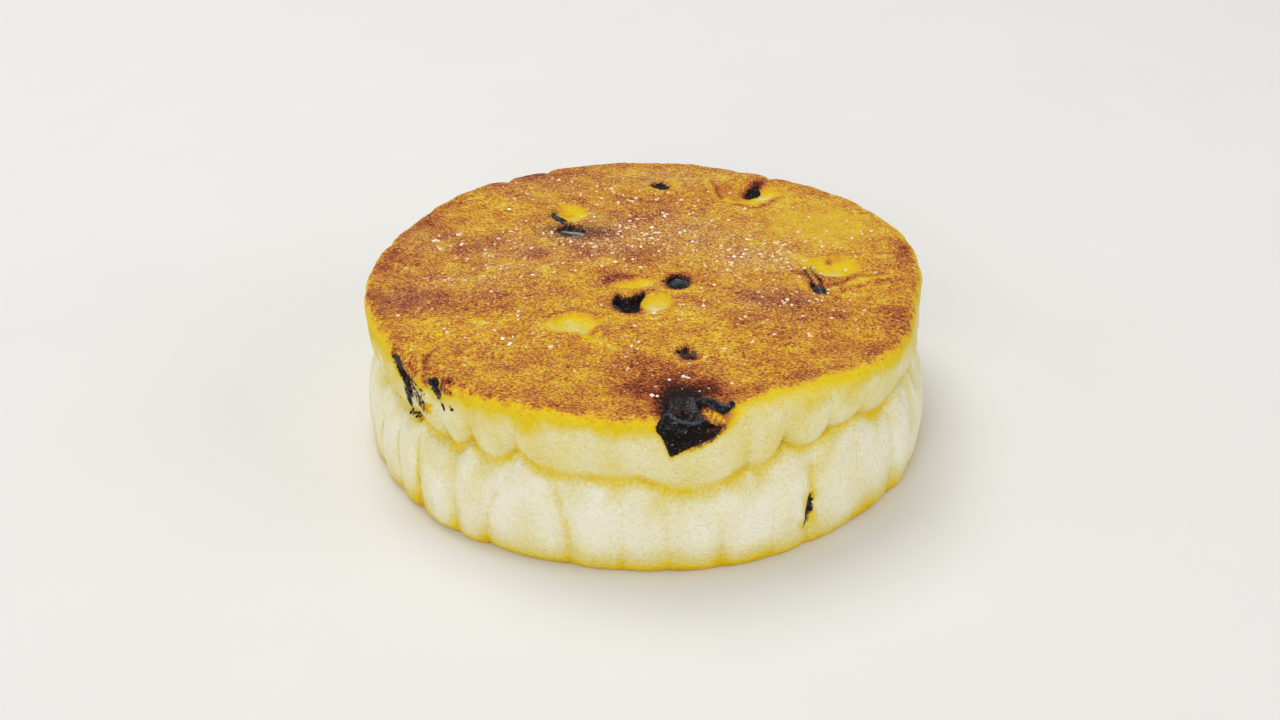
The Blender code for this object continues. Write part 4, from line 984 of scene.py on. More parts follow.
# Dough that never met the iron, in the dents and below the rim, is of one calm colour, with no frost on it
crust_calm = strongest([
    smooth_step(0.1, 1.2, crust_past),
    *((0.4 + 0.6 * dent[6]) * in_dent(crust_x, crust_y, dent, *DENT_CALM) for dent in DENTS),
])
crust_frost = strongest(bells(crust_x, crust_y, FROST)) * (1.0 - crust_calm)
# In the crease, the grooves of each tier and the foot of the side it is specked with brown
LOW_SPECKS, HIGH_SPECKS, FOOT_SPECKS = 0.7, 0.5, 0.4
SPECKS_REACH, SPECKS_RISE = 0.75, 2.2
specked = bell(from_crease + 0.1, SPECKS_REACH) + FOOT_SPECKS * bell(side_height, SPECKS_RISE)
specked += LOW_SPECKS * low_stain * (1.0 - tier_share) + HIGH_SPECKS * high_stain * tier_share
specked = np.clip(specked, 0.0, 1.0)
side_calm = smooth_step(0.1, 1.2, rim_past) * (1.0 - 1.5 * specked * smooth_step(1.2, 2.6, rim_past))

rows, columns = side_height.shape
side_index = len(crust) + np.arange(rows * columns).reshape(rows, columns)
under_first = len(crust) + rows * columns
# The foot has twice as many points round it as the underside, so three triangles fill each step between them
heel, heel_between, heel_next = side_index[0][0::2], side_index[0][1::2], np.roll(side_index[0][0::2], -1)
edge, edge_next = under_first + under_ring, np.roll(under_first + under_ring, -1)
steps = ((edge, heel_between, heel), (edge, edge_next, heel_between), (edge_next, heel_next, heel_between))
cake_faces = [
    *crust_faces.tolist(),
    *ladder_faces(np.vstack([side_index, crust_ring])).tolist(),
    *np.vstack([np.stack(corners, axis=1) for corners in steps]).tolist(),
    *(under_faces[:, ::-1] + under_first).tolist(),
]


def srgb(red, green, blue):
    """A colour given as 0 to 255 on screen, as the shader needs it."""
    share = np.array([red, green, blue]) / 255.0
    linear = np.where(share <= 0.04045, share / 12.92, ((share + 0.055) / 1.055) ** 2.4)
    return (*linear.tolist(), 1.0)


def add_node(tree, kind, inputs=None, **settings):
    """One node, set up; an input takes a value, or a socket to be joined to it."""
    node = tree.nodes.new(kind)
    for key, value in settings.items():
        setattr(node, key, value)
    for key, value in (inputs or {}).items():
        if isinstance(value, bpy.types.NodeSocket):
            tree.links.new(value, node.inputs[key])
        else:
            node.inputs[key].default_value = value
    return node


def math_node(tree, operation, first, second=0.0, third=0.0):
    """The result of one sum on two or three numbers or sockets."""
    numbers = {0: first, 1: second, 2: third}
    return add_node(tree, "ShaderNodeMath", numbers, operation=operation).outputs[0]


def plus_share(tree, value, share, whole):
    """A number or socket times a share, added to another."""
    return math_node(tree, "MULTIPLY_ADD", value, share, whole)


def mapped(tree, value, low, high, least=0.0, most=1.0):
    """A value between low and high carried to between least and most, and kept there."""
    return add_node(tree, "ShaderNodeMapRange", {0: value, 1: low, 2: high, 3: least, 4: most}).outputs[0]


def painted(tree, name):
    """The number painted on the piece under a name."""
    return add_node(tree, "ShaderNodeAttribute", attribute_name=name).outputs["Fac"]


def mixed(tree, share, first, second):
    """Two colours mixed by a share."""
    return add_node(tree, "ShaderNodeMix", {0: share, 6: first, 7: second}, data_type="RGBA").outputs[2]


def ramp(tree, share, stops):
    """A colour ramp through (place, colour) stops."""
    node = add_node(tree, "ShaderNodeValToRGB", {0: share})
    elements = node.color_ramp.elements
    for place, _ in stops[2:]:
        elements.new(place)
    for element, (place, colour) in zip(elements, stops):
        element.position = place
        element.color = colour
    return node.outputs[0]


def new_material(name, **sockets):
    """A material with its Principled shader, its constant sockets set by name."""
    material = bpy.data.materials.new(name)
    material.use_nodes = True
    shader = material.node_tree.nodes["Principled BSDF"]
    for key, value in sockets.items():
        shader.inputs[key.replace("_", " ")].default_value = value
    return material, material.node_tree, shader


def bumped(tree, shader, relief, height, strength):
    """Relief under the shader's light, its height in metres."""
    bump = add_node(tree, "ShaderNodeBump", {"Height": relief, "Distance": height, "Strength": strength})
    tree.links.new(bump.outputs[0], shader.inputs["Normal"])


def make_speckle_group():
    """Node group: fine uneven grain, about -1 to 1, of one size in millimetres.

    It is four times a noise less a half, on Object coordinates drawn out along X and upright.
    """
    group = bpy.data.node_groups.new("baked_speckle", "ShaderNodeTree")
    number = "NodeSocketFloat"
    for socket, usual in (("Size", 0.4), ("Along", 1.0), ("Upright", 1.0), ("Detail", 2.0)):
        group.interface.new_socket(socket, in_out="INPUT", socket_type=number).default_value = usual
    group.interface.new_socket("Speckle", in_out="OUTPUT", socket_type=number)
    given = group.nodes.new("NodeGroupInput").outputs
    result = group.nodes.new("NodeGroupOutput")
    along, upright = (math_node(group, "DIVIDE", 1.0, given[name]) for name in ("Along", "Upright"))
    squeeze = add_node(group, "ShaderNodeCombineXYZ", {0: along, 1: 1.0, 2: upright}).outputs[0]
    place = add_node(group, "ShaderNodeTexCoord").outputs["Object"]
    place = add_node(group, "ShaderNodeVectorMath", {0: place, 1: squeeze}, operation="MULTIPLY").outputs[0]
    scale = math_node(group, "DIVIDE", 1.0 / MM, given["Size"])
    grain = {"Vector": place, "Scale": scale, "Detail": given["Detail"], "Roughness": 0.6}
    noise = add_node(group, "ShaderNodeTexNoise", grain).outputs["Fac"]
    centred = math_node(group, "SUBTRACT", noise, 0.5)
    group.links.new(math_node(group, "MULTIPLY", centred, 4.0), result.inputs["Speckle"])
    return group


SPECKLE = make_speckle_group()


def speckle(tree, size, upright=1.0, detail=2.0, along=1.0):
    """The speckle group placed in a material, with specks of one size, drawn out so many times each way."""
    node = add_node(tree, "ShaderNodeGroup", node_tree=SPECKLE)
    for name, value in (("Size", size), ("Along", along), ("Upright", upright), ("Detail", detail)):
        node.inputs[name].default_value = value
    return node.outputs["Speckle"]


# Colour of the dough as it browns, from raw cream through yellow and gold to burnt
BROWNING = (
    (0.00, srgb(243, 239, 215)),
    (0.10, srgb(231, 216, 138)),
    (0.21, srgb(232, 202, 24)),
    (0.32, srgb(228, 178, 34)),
    (0.42, srgb(212, 148, 48)),
    (0.54, srgb(190, 112, 50)),
    (0.68, srgb(152, 72, 34)),
    (0.82, srgb(108, 40, 17)),
    (1.00, srgb(32, 15, 12)),
)


def make_dough_material():
    """Baked dough: its painted browning, speckled at three sizes, then frosted, stained and painted with
    shade.
    """
    material, tree, shader = new_material("baked_dough", Roughness=0.62, Specular_IOR_Level=0.13)
    browning, dark_skin_and_shade, skin_tone, bloom, frost, calm = (
        painted(tree, name) for name in ("browning", "dark_skin_and_shade", "skin", "bloom", "frost", "calm")
    )
    fine, middling = speckle(tree, 0.25, 1.6, along=1.4), speckle(tree, 0.8, 1.6, along=1.3)
    broad = speckle(tree, 3.2, 1.4, 3.0)
    # Speckle spreads the tone most on the well browned crust, and least on calm dough
    spread = mapped(tree, browning, 0.24, 0.40, 0.060, 0.31)
    spread = math_node(tree, "MULTIPLY", spread, plus_share(tree, calm, -0.60, 1.0))
    together = plus_share(tree, broad, 0.45, plus_share(tree, middling, 0.35, fine))
    colour = ramp(tree, plus_share(tree, together, spread, browning), BROWNING)
    colour = mixed(tree, math_node(tree, "MULTIPLY", frost, 0.22), colour, srgb(160, 120, 110))
    # Pale flecks on the browned crust, thickest under the frost, and duller where it is burnt
    flecks = mapped(tree, plus_share(tree, frost, 0.45, speckle(tree, 0.33, 1.0, 1.0)), 0.66, 0.95, 0.0, 0.75)
    for limit in (mapped(tree, browning, 0.26, 0.36), mapped(tree, browning, 0.90, 0.62, 0.45)):
        flecks = math_node(tree, "MULTIPLY", flecks, limit)
    burnt = mapped(tree, browning, 0.50, 0.70)
    colour = mixed(tree, flecks, colour, mixed(tree, burnt, srgb(236, 205, 150), srgb(214, 148, 96)))
    # Bloom over currant skin that lies just under the dough
    dulled = math_node(tree, "MULTIPLY", bloom, plus_share(tree, fine, 1.4, 1.0))
    colour = mixed(tree, mapped(tree, dulled, 0.20, 1.0, 0.0, 0.90), colour, srgb(104, 58, 48))
    # Currant skin left on the dough, and painted shade in the pits and tears: near-black and streaked, slate
    # where the skin is thick, red-brown where it is thin
    dark = mapped(tree, plus_share(tree, speckle(tree, 0.30), 0.20, dark_skin_and_shade), 0.42, 0.58)
    streak = speckle(tree, 0.50, 2.0, 3.0)
    skin = mixed(tree, mapped(tree, streak, 0.00, 0.85), srgb(30, 19, 17), srgb(92, 80, 78))
    slate = mapped(tree, plus_share(tree, streak, 0.25, skin_tone), 0.20, 0.90, 0.0, 0.85)
    skin = mixed(tree, slate, skin, srgb(68, 71, 72))
    thin = plus_share(tree, streak, 0.45, math_node(tree, "MULTIPLY", skin_tone, -1.0))
    skin = mixed(tree, mapped(tree, thin, 0.15, 0.95, 0.0, 0.85), skin, srgb(128, 90, 72))
    tree.links.new(mixed(tree, dark, colour, skin), shader.inputs["Base Color"])
    bumped(tree, shader, plus_share(tree, middling, 0.6, fine), 0.00011, 0.8)
    return material


cake_points = np.vstack([crust, side.reshape(-1, 3), under])
cake = make_piece("baked_cake", cake_points, cake_faces, make_dough_material())
none = np.zeros(len(under))
for name, *parts in (
    ("browning", crust_browning, side_browning, under_browning),
    ("dark_skin_and_shade", crust_dark_and_shade, side_dark_and_shade, none),
    ("skin", crust_skin, side_skin, none),
    ("bloom", crust_bloom, side_bloom, none),
    ("frost", crust_frost, 0.0 * side_bloom, none),
    ("calm", crust_calm, side_calm, none),
):
    paint(cake, name, np.concatenate([part.ravel() for part in parts]))
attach(cake, "root")
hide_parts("cake")

# --------------------------------------------------------------------------------------------------
# The currants: dried small grapes that were mixed into the dough. Eight show in pits of the crust and five in
# the side, near-black, wrinkled lengthwise, and dulled slate grey where the griddle dried their skins, with
# painted highlights in grey along their ridges and rims.

CURRANT_ROWS = 34
CURRANT_SIDES = 56
# A currant is filled out towards a box by this power, where 2 would leave it round
FULLNESS = 3.0
# Wrinkles: how deep the long and the small ones are, their lengths as shares of the currant's size, how much
# the long ones are stretched along it, and how wide the ridges between them are
WRINKLE_DEPTH, SMALL_DEPTH = 0.15, 0.05
LONG_WRINKLE, SMALL_WRINKLE = 1.5, 0.55
WRINKLE_STRETCH, RIDGE_WIDTH = 0.55, 0.35
# Skins that dried paler than the rest, and how much
DRYNESS = {
    "currant_under_skin": 0.90, "currant_centre_back": 0.40, "currant_left_back": 0.30, "currant_right": 0.70,
    "currant_back": 0.45, "currant_left_fold": 0.15, "currant_left_rim": 0.15, "currant_right_slit": 0.10,
}
# Skins that dried redder than the rest, and how much
REDNESS = {"currant_near_raisin": 0.95, "currant_centre_front": 0.35, "currant_back": 0.40}
# How slate grey a skin is on its ridges, partly a painted highlight there, and at its rim, where the grey is
# a painted highlight; and how red it is where nothing else is given
RIDGE_GREY, RIM_HIGHLIGHT_GREY, USUAL_RED = 0.75, 0.5, 0.25


def make_fruit_material(name, roughness):
    """Dried fruit skin: near-black, slate along its ridges, red-brown in places, with pale dry specks."""
    material, tree, shader = new_material(name, Roughness=roughness, Specular_IOR_Level=0.08)
    ridge = painted(tree, "ridge")
    fine, middling = speckle(tree, 0.30), speckle(tree, 1.1, 1.0, 3.0)
    body = ramp(tree, plus_share(tree, middling, 0.30, 0.45), (
        (0.0, srgb(6, 4, 4)), (0.45, srgb(16, 10, 10)), (0.75, srgb(28, 19, 18)), (1.0, srgb(46, 34, 33)),
    ))
    slate = mapped(tree, plus_share(tree, fine, 0.42, ridge), 0.42, 1.10)
    colour = mixed(tree, slate, body, srgb(78, 86, 92))
    silver = mapped(tree, plus_share(tree, fine, 0.25, ridge), 1.10, 1.60, 0.0, 0.85)
    colour = mixed(tree, silver, colour, srgb(182, 166, 146))
    red = plus_share(tree, speckle(tree, 0.42), 0.55, painted(tree, "red"))
    colour = mixed(tree, mapped(tree, red, 0.55, 1.05, 0.0, 0.75), colour, srgb(92, 48, 36))
    dry = mapped(tree, speckle(tree, 0.24, 1.0, 0.0), 0.88, 1.15, 0.0, 0.55)
    tree.links.new(mixed(tree, dry, colour, srgb(158, 126, 116)), shader.inputs["Base Color"])
    bumped(tree, shader, plus_share(tree, middling, 0.8, fine), 0.00010, 0.6)
    return material


def tube_faces(rings, sides, way=1):
    """Squares between rings of points, and a fan at either end to a tip, the tips numbered after the rings.

    Way is 1, or -1 to face the other way.
    """
    index = np.arange(rings * sides).reshape(rings, sides)
    here, there = index[[0, -1]], np.roll(index[[0, -1]], -1, axis=1)
    first, last = np.full(sides, index.size), np.full(sides, index.size + 1)
    fans = np.stack([first, there[0], here[0]], axis=1), np.stack([last, here[1], there[1]], axis=1)
    faces = []
    for group in (ladder_faces(index), *fans):
        faces += (group if way > 0 else np.roll(group[:, ::-1], 1, axis=1)).tolist()
    return faces


def wrinkled_ball(half_sizes, seed):
    """A dried currant: a ball on a grid of rows along X and sides round it, closed at both ends.

    Each point is a direction times the half sizes, filled out a little towards a box, and drawn in away from
    where a slow wave, stretched along the length, crosses nothing, which leaves long ridges between folds.
    Also returns how close each point is to a ridge, and to the rim of the face that looks out of the dough.
    """
    slope = np.linspace(0.0, math.pi, CURRANT_ROWS + 2)[1:-1, None]
    turn = np.linspace(0.0, 2.0 * math.pi, CURRANT_SIDES, endpoint=False)[None, :]
    directions = np.stack([
        np.cos(slope) + 0.0 * turn, np.sin(slope) * np.cos(turn), np.sin(slope) * np.sin(turn)
    ], axis=-1).reshape(-1, 3)
    directions = np.vstack([directions, [[1.0, 0.0, 0.0], [-1.0, 0.0, 0.0]]])
    long_folds = waves(directions * np.array([WRINKLE_STRETCH, 1.0, 1.0]), LONG_WRINKLE, seed)
    small_folds = waves(directions, SMALL_WRINKLE, seed + 100)
    ridge = np.exp(-np.abs(long_folds) / RIDGE_WIDTH)
    full = (np.abs(directions) ** FULLNESS).sum(axis=1) ** (-1.0 / FULLNESS)
    shrink = full * (1.0 - WRINKLE_DEPTH * (1.0 - ridge) + SMALL_DEPTH * small_folds)
    points = directions * np.array(half_sizes) * shrink[:, None]
    out_rim = smooth_step(0.55, 0.85, np.hypot(directions[:, 0], directions[:, 1])) * (directions[:, 2] > 0.0)
    return points, tube_faces(CURRANT_ROWS, CURRANT_SIDES), ridge, out_rim


def turn_z(angle):
    """The matrix of a turn about Z."""
    cosine, sine = math.cos(math.radians(angle)), math.sin(math.radians(angle))
    return np.array([[cosine, -sine, 0.0], [sine, cosine, 0.0], [0.0, 0.0, 1.0]])


# How far the skin that shows lies from its currant's middle: x, y, and up, or along the side, up it, and out
SKIN_SHIFTS = {
    "currant_centre_back": (0.1, -0.1, 0.45),
    "currant_right": (0.3, -1.6, 0.30),
    "currant_back_hollow": (0.2, 1.5, 0.36),
    "currant_left_back": (0.0, -0.3, 0.25),
    "currant_under_skin": (-0.1, -0.7, 0.10),
    "currant_right_slit": (0.0, 0.0, -0.22),
    "currant_back": (0.0, -0.3, 0.20),
}


def put_currant(name, points):
    """A currant's points, turned and put in the crust or bent along the side, its own Z out of the dough."""
    shift = np.array(SKIN_SHIFTS.get(name, (0.0, 0.0, 0.0)))
    if name in TOP_CURRANTS:
        x, y, _, _, half_depth, turn, sunk = TOP_CURRANTS[name]
        return points @ turn_z(turn).T + np.array([x, y, CAKE_HEIGHT - sunk - half_depth]) + shift
    bearing, height, _, _, half_depth, lean, sunk = SIDE_CURRANTS[name]
    across, up, out = (points @ turn_z(90.0 + lean).T + shift).T
    arc = math.radians(bearing) * RIM_RADIUS + across
    placed = on_rim(arc, ROUND_HALF + RIM_HEIGHT - height - up, 0.0)
    return placed + around_point(1.0, bearing, 0.0) * (out - sunk - half_depth)[:, None]


CURRANT_SEED = 200
currant_skin = make_fruit_material("currant_skin", 0.46)
for number, (name, place) in enumerate([*TOP_CURRANTS.items(), *SIDE_CURRANTS.items()]):
    points, faces, ridge, rim = wrinkled_ball(place[2:5], CURRANT_SEED + number)
    placed = put_currant(name, points)
    # The rim of the face that looks out of the dough is painted grey, most on the side towards the middle of
    # the cake: a painted highlight where light catches that edge
    middle = placed.mean(axis=0)
    away = placed - middle
    inward = -(away @ middle) / (np.linalg.norm(away, axis=1) * np.linalg.norm(middle))
    currant = make_piece("dried_" + name, placed, faces, currant_skin)
    grey = RIDGE_GREY * ridge + DRYNESS.get(name, 0.0) + RIM_HIGHLIGHT_GREY * rim * smooth_step(0.0, 1.0, inward)
    paint(currant, "ridge", grey)
    paint(currant, "red", np.full(len(points), REDNESS.get(name, USUAL_RED)))
    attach(currant, "root")
    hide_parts(name)

# --------------------------------------------------------------------------------------------------
# The raisin: one large one that the cutter caught at the rim. It lies over the rounding, burnt black above
# and torn open below, with a ledge across its face and one curl of its skin drawn out along the rim.

RAISIN_PROUD = 0.45
RAISIN_DEEP = 2.4
# The curl of skin: arc, distance down, height off the dough, and half width at each of its points
RAISIN_ARM = (
    (5.0, -3.1, -0.2, 0.66), (6.2, -2.8, 0.05, 0.52), (7.0, -2.2, 0.14, 0.54), (7.5, -1.4, 0.18, 0.56),
    (7.95, -0.8, 0.16, 0.5), (8.5, -0.8, 0.14, 0.34), (8.95, -1.15, 0.16, 0.32), (9.3, -1.55, 0.16, 0.42),
)
# Ridges in the raisin's skin: lines in arc and distance down, half width, height, and how slate grey each
# is, partly the skin's own slate and partly a painted sheen along the ridge
RAISIN_LEDGES = (
    (
        ((2.3, -1.0), (2.5, -0.4), (3.1, 0.0), (3.8, 0.2), (4.4, 0.4), (5.1, 0.35), (5.6, 0.1)),
        0.25, 0.22, 1.00,
    ),
    (((2.2, -0.9), (2.6, -2.0), (2.7, -3.2)), 0.26, 0.16, 0.75),
    (((1.9, -1.0), (1.5, -0.2), (1.3, 0.4)), 0.34, 0.08, 0.60),
    (((5.5, -3.7), (5.1, -2.6), (5.1, -1.2), (5.5, -0.1)), 0.42, 0.24, 0.85),
    (((5.2, -3.7), (4.8, -2.6), (4.8, -1.2), (5.2, -0.3)), 0.90, 0.10, 0.68),
    (((1.5, 0.7), (2.4, 0.4), (3.4, 1.0)), 0.80, 0.00, 0.50),
    (((4.6, -3.5), (5.4, -3.9)), 0.30, 0.16, 0.60),
    (((2.2, 0.3), (3.0, 0.8)), 0.50, 0.00, 0.45),
    (((3.2, -3.6), (3.6, -2.4), (3.6, -1.4)), 0.90, 0.00, 0.40),
)
# Creases where the skin shows red, and their half width
RAISIN_RED = (
    ((2.9, -1.1), (3.7, -0.6)), ((4.0, -0.7), (4.4, -0.2)), ((3.3, -2.2), (4.1, -1.7)),
    ((5.9, 1.4), (6.6, 1.2), (7.5, 1.0)),
)
RAISIN_RED_WIDTH = 0.42
# How red the creases are, how deep, and how red the skin is where it thins towards the crust
CREASE_RED, CREASE_DEEP, BACK_RED = 0.80, 0.22, 0.48
# Its wrinkles, by the height, the length and the seed of their waves
RAISIN_WRINKLES = ((0.06, 1.3, 301), (0.03, 0.6, 302))
# The ledge is a step: above it the skin stands this much prouder
RAISIN_STEP = 0.28
# How high its broad folds are, and how ragged its edge is
RAISIN_FOLD, RAISIN_RAGGED = 0.10, 0.07
RAISIN_CELLS = 64
ARM_SIDES = 28
ARM_STEPS = 60
# How many times the corners of the raisin's outline and of the curl's line are rounded off
OUTLINE_ROUNDS, ARM_ROUNDS = 4, 5
# Both ends of the curl round off over this many of its points' steps
ARM_END = 0.35
# Dents in its skin, by the height, the length and the seed of their waves, and how slate grey it is,
# everywhere and besides on what stands proud, the latter a painted highlight
ARM_DENTS = ((0.10, 2.0, 303),)
ARM_GREY, PROUD_HIGHLIGHT_GREY = 0.42, 0.50


def ring_points(outline, count):
    """Points spread evenly round a closed outline."""
    corners = np.array(outline + outline[:1], dtype=float)
    runs = np.concatenate([[0.0], np.cumsum(np.hypot(*np.diff(corners, axis=0).T))])
    places = np.linspace(0.0, runs[-1], count, endpoint=False)
    return np.stack([np.interp(places, runs, corners[:, 0]), np.interp(places, runs, corners[:, 1])], axis=1)


def rounded(line, times, closed):
    """A line with its corners rounded off: each point goes half the way to the middle of its neighbours.

    It does so a number of times. The ends of a line that isn't closed stay where they are.
    """
    for _ in range(times):
        even = (np.roll(line, 1, axis=0) + 2.0 * line + np.roll(line, -1, axis=0)) / 4.0
        line = even if closed else np.vstack([line[:1], even[1:-1], line[-1:]])
    return line


def raisin_cushion():
    """The body: an outline bent over the rim, with a proud skin and a round back that share its edge.

    The skin's height is a plain rise with folds, a step, ridges and wrinkles, and sinks to nothing at the
    edge by a power of the share of the way out. The back is half an ellipse.
    """
    share, bearing, faces, ring = disc_grid(RAISIN_CELLS)
    edge = rounded(ring_points(RAISIN_OUTLINE, len(ring)), OUTLINE_ROUNDS, True)
    places = np.arange(len(ring)) / len(ring) * 360.0 + bearing[ring][0]
    arc, down = (
        middle + share * (np.interp(bearing, places, edge[::-1, axis], period=360.0) - middle)
        for axis, middle in enumerate(RAISIN_CENTRE)
    )
    ragged = share**6 * RAISIN_RAGGED
    arc = arc + ragged * np.sin(7.0 * down + 3.0 * arc)
    down = down + ragged * np.sin(9.0 * arc - 2.0 * down)
    near = [bell(line_distance(arc, down, points), half_width) for points, half_width, _, _ in RAISIN_LEDGES]
    ledge, slate = (
        strongest(row[column] * bell_there for row, bell_there in zip(RAISIN_LEDGES, near))
        for column in (2, 3)
    )
    creased = strongest(bell(line_distance(arc, down, points), RAISIN_RED_WIDTH) for points in RAISIN_RED)
    red = CREASE_RED * creased
    ledge_line = np.array(RAISIN_LEDGES[0][0]).T
    step = RAISIN_STEP * smooth_step(0.15, -0.25, down - np.interp(arc, *ledge_line))
    fold = RAISIN_FOLD * np.cos(1.9 * arc) * np.cos(1.6 * down + 0.6 * arc) - CREASE_DEEP * red
    red = np.maximum(red, BACK_RED * smooth_step(-2.0, -3.4, down))
    # Out of the rounded rim, at 45 degrees
    out = around_point(1.0, math.degrees(RAISIN_CENTRE[0] / RIM_RADIUS), 1.0) * math.sqrt(0.5)
    rim = on_rim(arc, down, 0.0)
    proud = RAISIN_PROUD + fold + step + ledge + added_waves(rim, RAISIN_WRINKLES)
    skin = rim + out * (proud * (1.0 - share**4))[:, None]
    back = rim - out * (RAISIN_DEEP * np.sqrt(1.0 - share**2))[:, None]
    inner = np.setdiff1d(np.arange(len(share)), ring)
    renumber = np.arange(len(share))
    renumber[inner] = len(share) + np.arange(len(inner))
    all_faces = faces.tolist() + renumber[faces][:, ::-1].tolist()
    hidden = np.zeros(len(inner))
    return np.vstack([skin, back[inner]]), all_faces, np.append(slate, hidden), np.append(red, hidden)


def raisin_arm():
    """The curl of skin: rings carried along a smooth line through the arm's points, closed at both ends.

    A ring's radius is the line's half width there, less a quarter ellipse at the ends, times 1 plus waves.
    """
    route = np.array(RAISIN_ARM)
    places = np.linspace(0.0, len(route) - 1.0, ARM_STEPS)
    knots = np.arange(len(route))
    curve = np.stack([np.interp(places, knots, column) for column in route.T], axis=1)
    curve = rounded(curve, ARM_ROUNDS, False)
    middle = on_rim(curve[:, 0], curve[:, 1], curve[:, 2])
    along = np.gradient(middle, axis=0)
    along /= np.linalg.norm(along, axis=1)[:, None]
    side_way = np.cross(along, np.array([0.0, -0.6, 0.8]))
    side_way /= np.linalg.norm(side_way, axis=1)[:, None]
    up_way = np.cross(side_way, along)
    turn = np.linspace(0.0, 2.0 * math.pi, ARM_SIDES, endpoint=False)[None, :, None]
    around = np.cos(turn) * side_way[:, None] + np.sin(turn) * up_way[:, None]
    from_end = np.minimum(places, places[::-1])
    ends = np.sqrt(np.clip(1.0 - (1.0 - from_end / ARM_END) ** 2, 0.0, 1.0))
    ends = np.where(from_end > ARM_END, 1.0, np.maximum(ends, 0.05))
    dent = added_waves(middle[:, None] + around, ARM_DENTS)
    rings = middle[:, None] + around * (curve[:, 3] * ends)[:, None, None] * (1.0 + dent)[..., None]
    # Slate grey over all the curl, and a painted highlight where its dents stand proud
    ridge = np.append((ARM_GREY + PROUD_HIGHLIGHT_GREY * bell(dent - 0.1, 0.08)).ravel(), [0.0, 0.0])
    return np.vstack([rings.reshape(-1, 3), middle[[0, -1]]]), tube_faces(ARM_STEPS, ARM_SIDES, -1), ridge


raisin_skin = make_fruit_material("raisin_skin", 0.38)
body_points, body_faces, body_ridge, body_red = raisin_cushion()
arm_points, arm_faces, arm_ridge = raisin_arm()
raisin = make_piece(
    "burnt_raisin",
    np.vstack([body_points, arm_points]),
    body_faces + [[corner + len(body_points) for corner in face] for face in arm_faces],
    raisin_skin,
)
paint(raisin, "ridge", np.concatenate([body_ridge, arm_ridge]))
paint(raisin, "red", np.concatenate([body_red, 0.0 * arm_ridge]))
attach(raisin, "root")
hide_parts("raisin_front_rim")

# --------------------------------------------------------------------------------------------------
# The sugar: caster sugar shaken over the cake while it was hot. The grains are white blocky crystals under
# half a millimetre across, sunk a little into the crust, thick in the middle and thin towards the rim.

SUGAR_SEED = 5
# Where the sugar fell: x, y, half length, half width and number of grains
SUGAR_FALLS = (
    (12.9, 3.8, 7.0, 4.2, 300), (5.0, 9.5, 9.0, 6.0, 220), (-3.0, 8.0, 7.0, 7.0, 170),
    (-8.7, 10.9, 2.4, 1.0, 12), (-12.0, 5.0, 10.0, 8.0, 170), (-24.5, 8.0, 3.2, 3.2, 30),
    (-20.0, -2.0, 8.0, 4.0, 60), (-8.0, 22.0, 10.0, 6.0, 130), (12.0, -8.0, 8.0, 6.0, 130),
    (20.0, -10.0, 7.0, 6.0, 60), (1.0, -20.0, 9.0, 6.0, 80), (-14.0, -13.0, 12.0, 9.0, 90),
    (20.0, 12.0, 10.0, 10.0, 120), (0.0, 0.0, 26.0, 26.0, 420),
)
# How far most grains fell from the middle of each, as a share of its half length and half width
SUGAR_SPREAD = 0.6
# Sizes of the smallest and the largest grain, and a power that makes most of them small
GRAIN_SIZES, GRAIN_POWER = (0.10, 0.32), 2.2
# How much a grain's three sides differ, and those of a lump
GRAIN_SIDES, LUMP_SIDES = (0.65, 1.35), (0.8, 1.2)
# No grain falls this close to the rim, or as close as this to a currant, as a share of its size
SUGAR_EDGE = 2.6
CLEAR_OF_CURRANT = 1.15
# How flat the grains lie, sunk in the crust: height as a share of width
GRAIN_FLATNESS = 0.6
# How far a grain's middle stands off the crust, and how far its corners are pushed about, as shares of its
# size
GRAIN_RISE = 0.06
GRAIN_ROUGHNESS = 0.35
# Grains that clung together: x, y and size of each
SUGAR_LUMPS = (
    (-25.4, 8.2, 0.46), (-22.6, 9.6, 0.5), (-22.0, 7.0, 0.44), (-24.4, 5.8, 0.44), (3.9, -23.9, 0.42),
    (4.3, -24.3, 0.36), (0.5, -27.3, 0.36), (1.1, -27.5, 0.28), (2.4, -24.4, 0.26), (8.8, -25.0, 0.3),
    (-6.6, 7.4, 0.4), (-6.0, 6.6, 0.36), (-3.4, 19.2, 0.38), (-14.6, -16.8, 0.36), (-10.2, -17.6, 0.4),
)
CUBE_CORNERS = np.array([
    (-1, -1, -1), (1, -1, -1), (1, 1, -1), (-1, 1, -1), (-1, -1, 1), (1, -1, 1), (1, 1, 1), (-1, 1, 1)
]) * 0.5
CUBE_FACES = np.array([(0, 3, 2, 1), (4, 5, 6, 7), (0, 1, 5, 4), (1, 2, 6, 5), (2, 3, 7, 6), (3, 0, 4, 7)])


def tumbled(count, rng):
    """Turning matrices for a number of grains, each from a random four-part spin."""
    w, x, y, z = rng.normal(size=(4, count))
    length = np.sqrt(w * w + x * x + y * y + z * z)
    w, x, y, z = w / length, x / length, y / length, z / length
    return np.stack([
        np.stack([1 - 2 * (y * y + z * z), 2 * (x * y - z * w), 2 * (x * z + y * w)], axis=-1),
        np.stack([2 * (x * y + z * w), 1 - 2 * (x * x + z * z), 2 * (y * z - x * w)], axis=-1),
        np.stack([2 * (x * z - y * w), 2 * (y * z + x * w), 1 - 2 * (x * x + y * y)], axis=-1),
    ], axis=1)


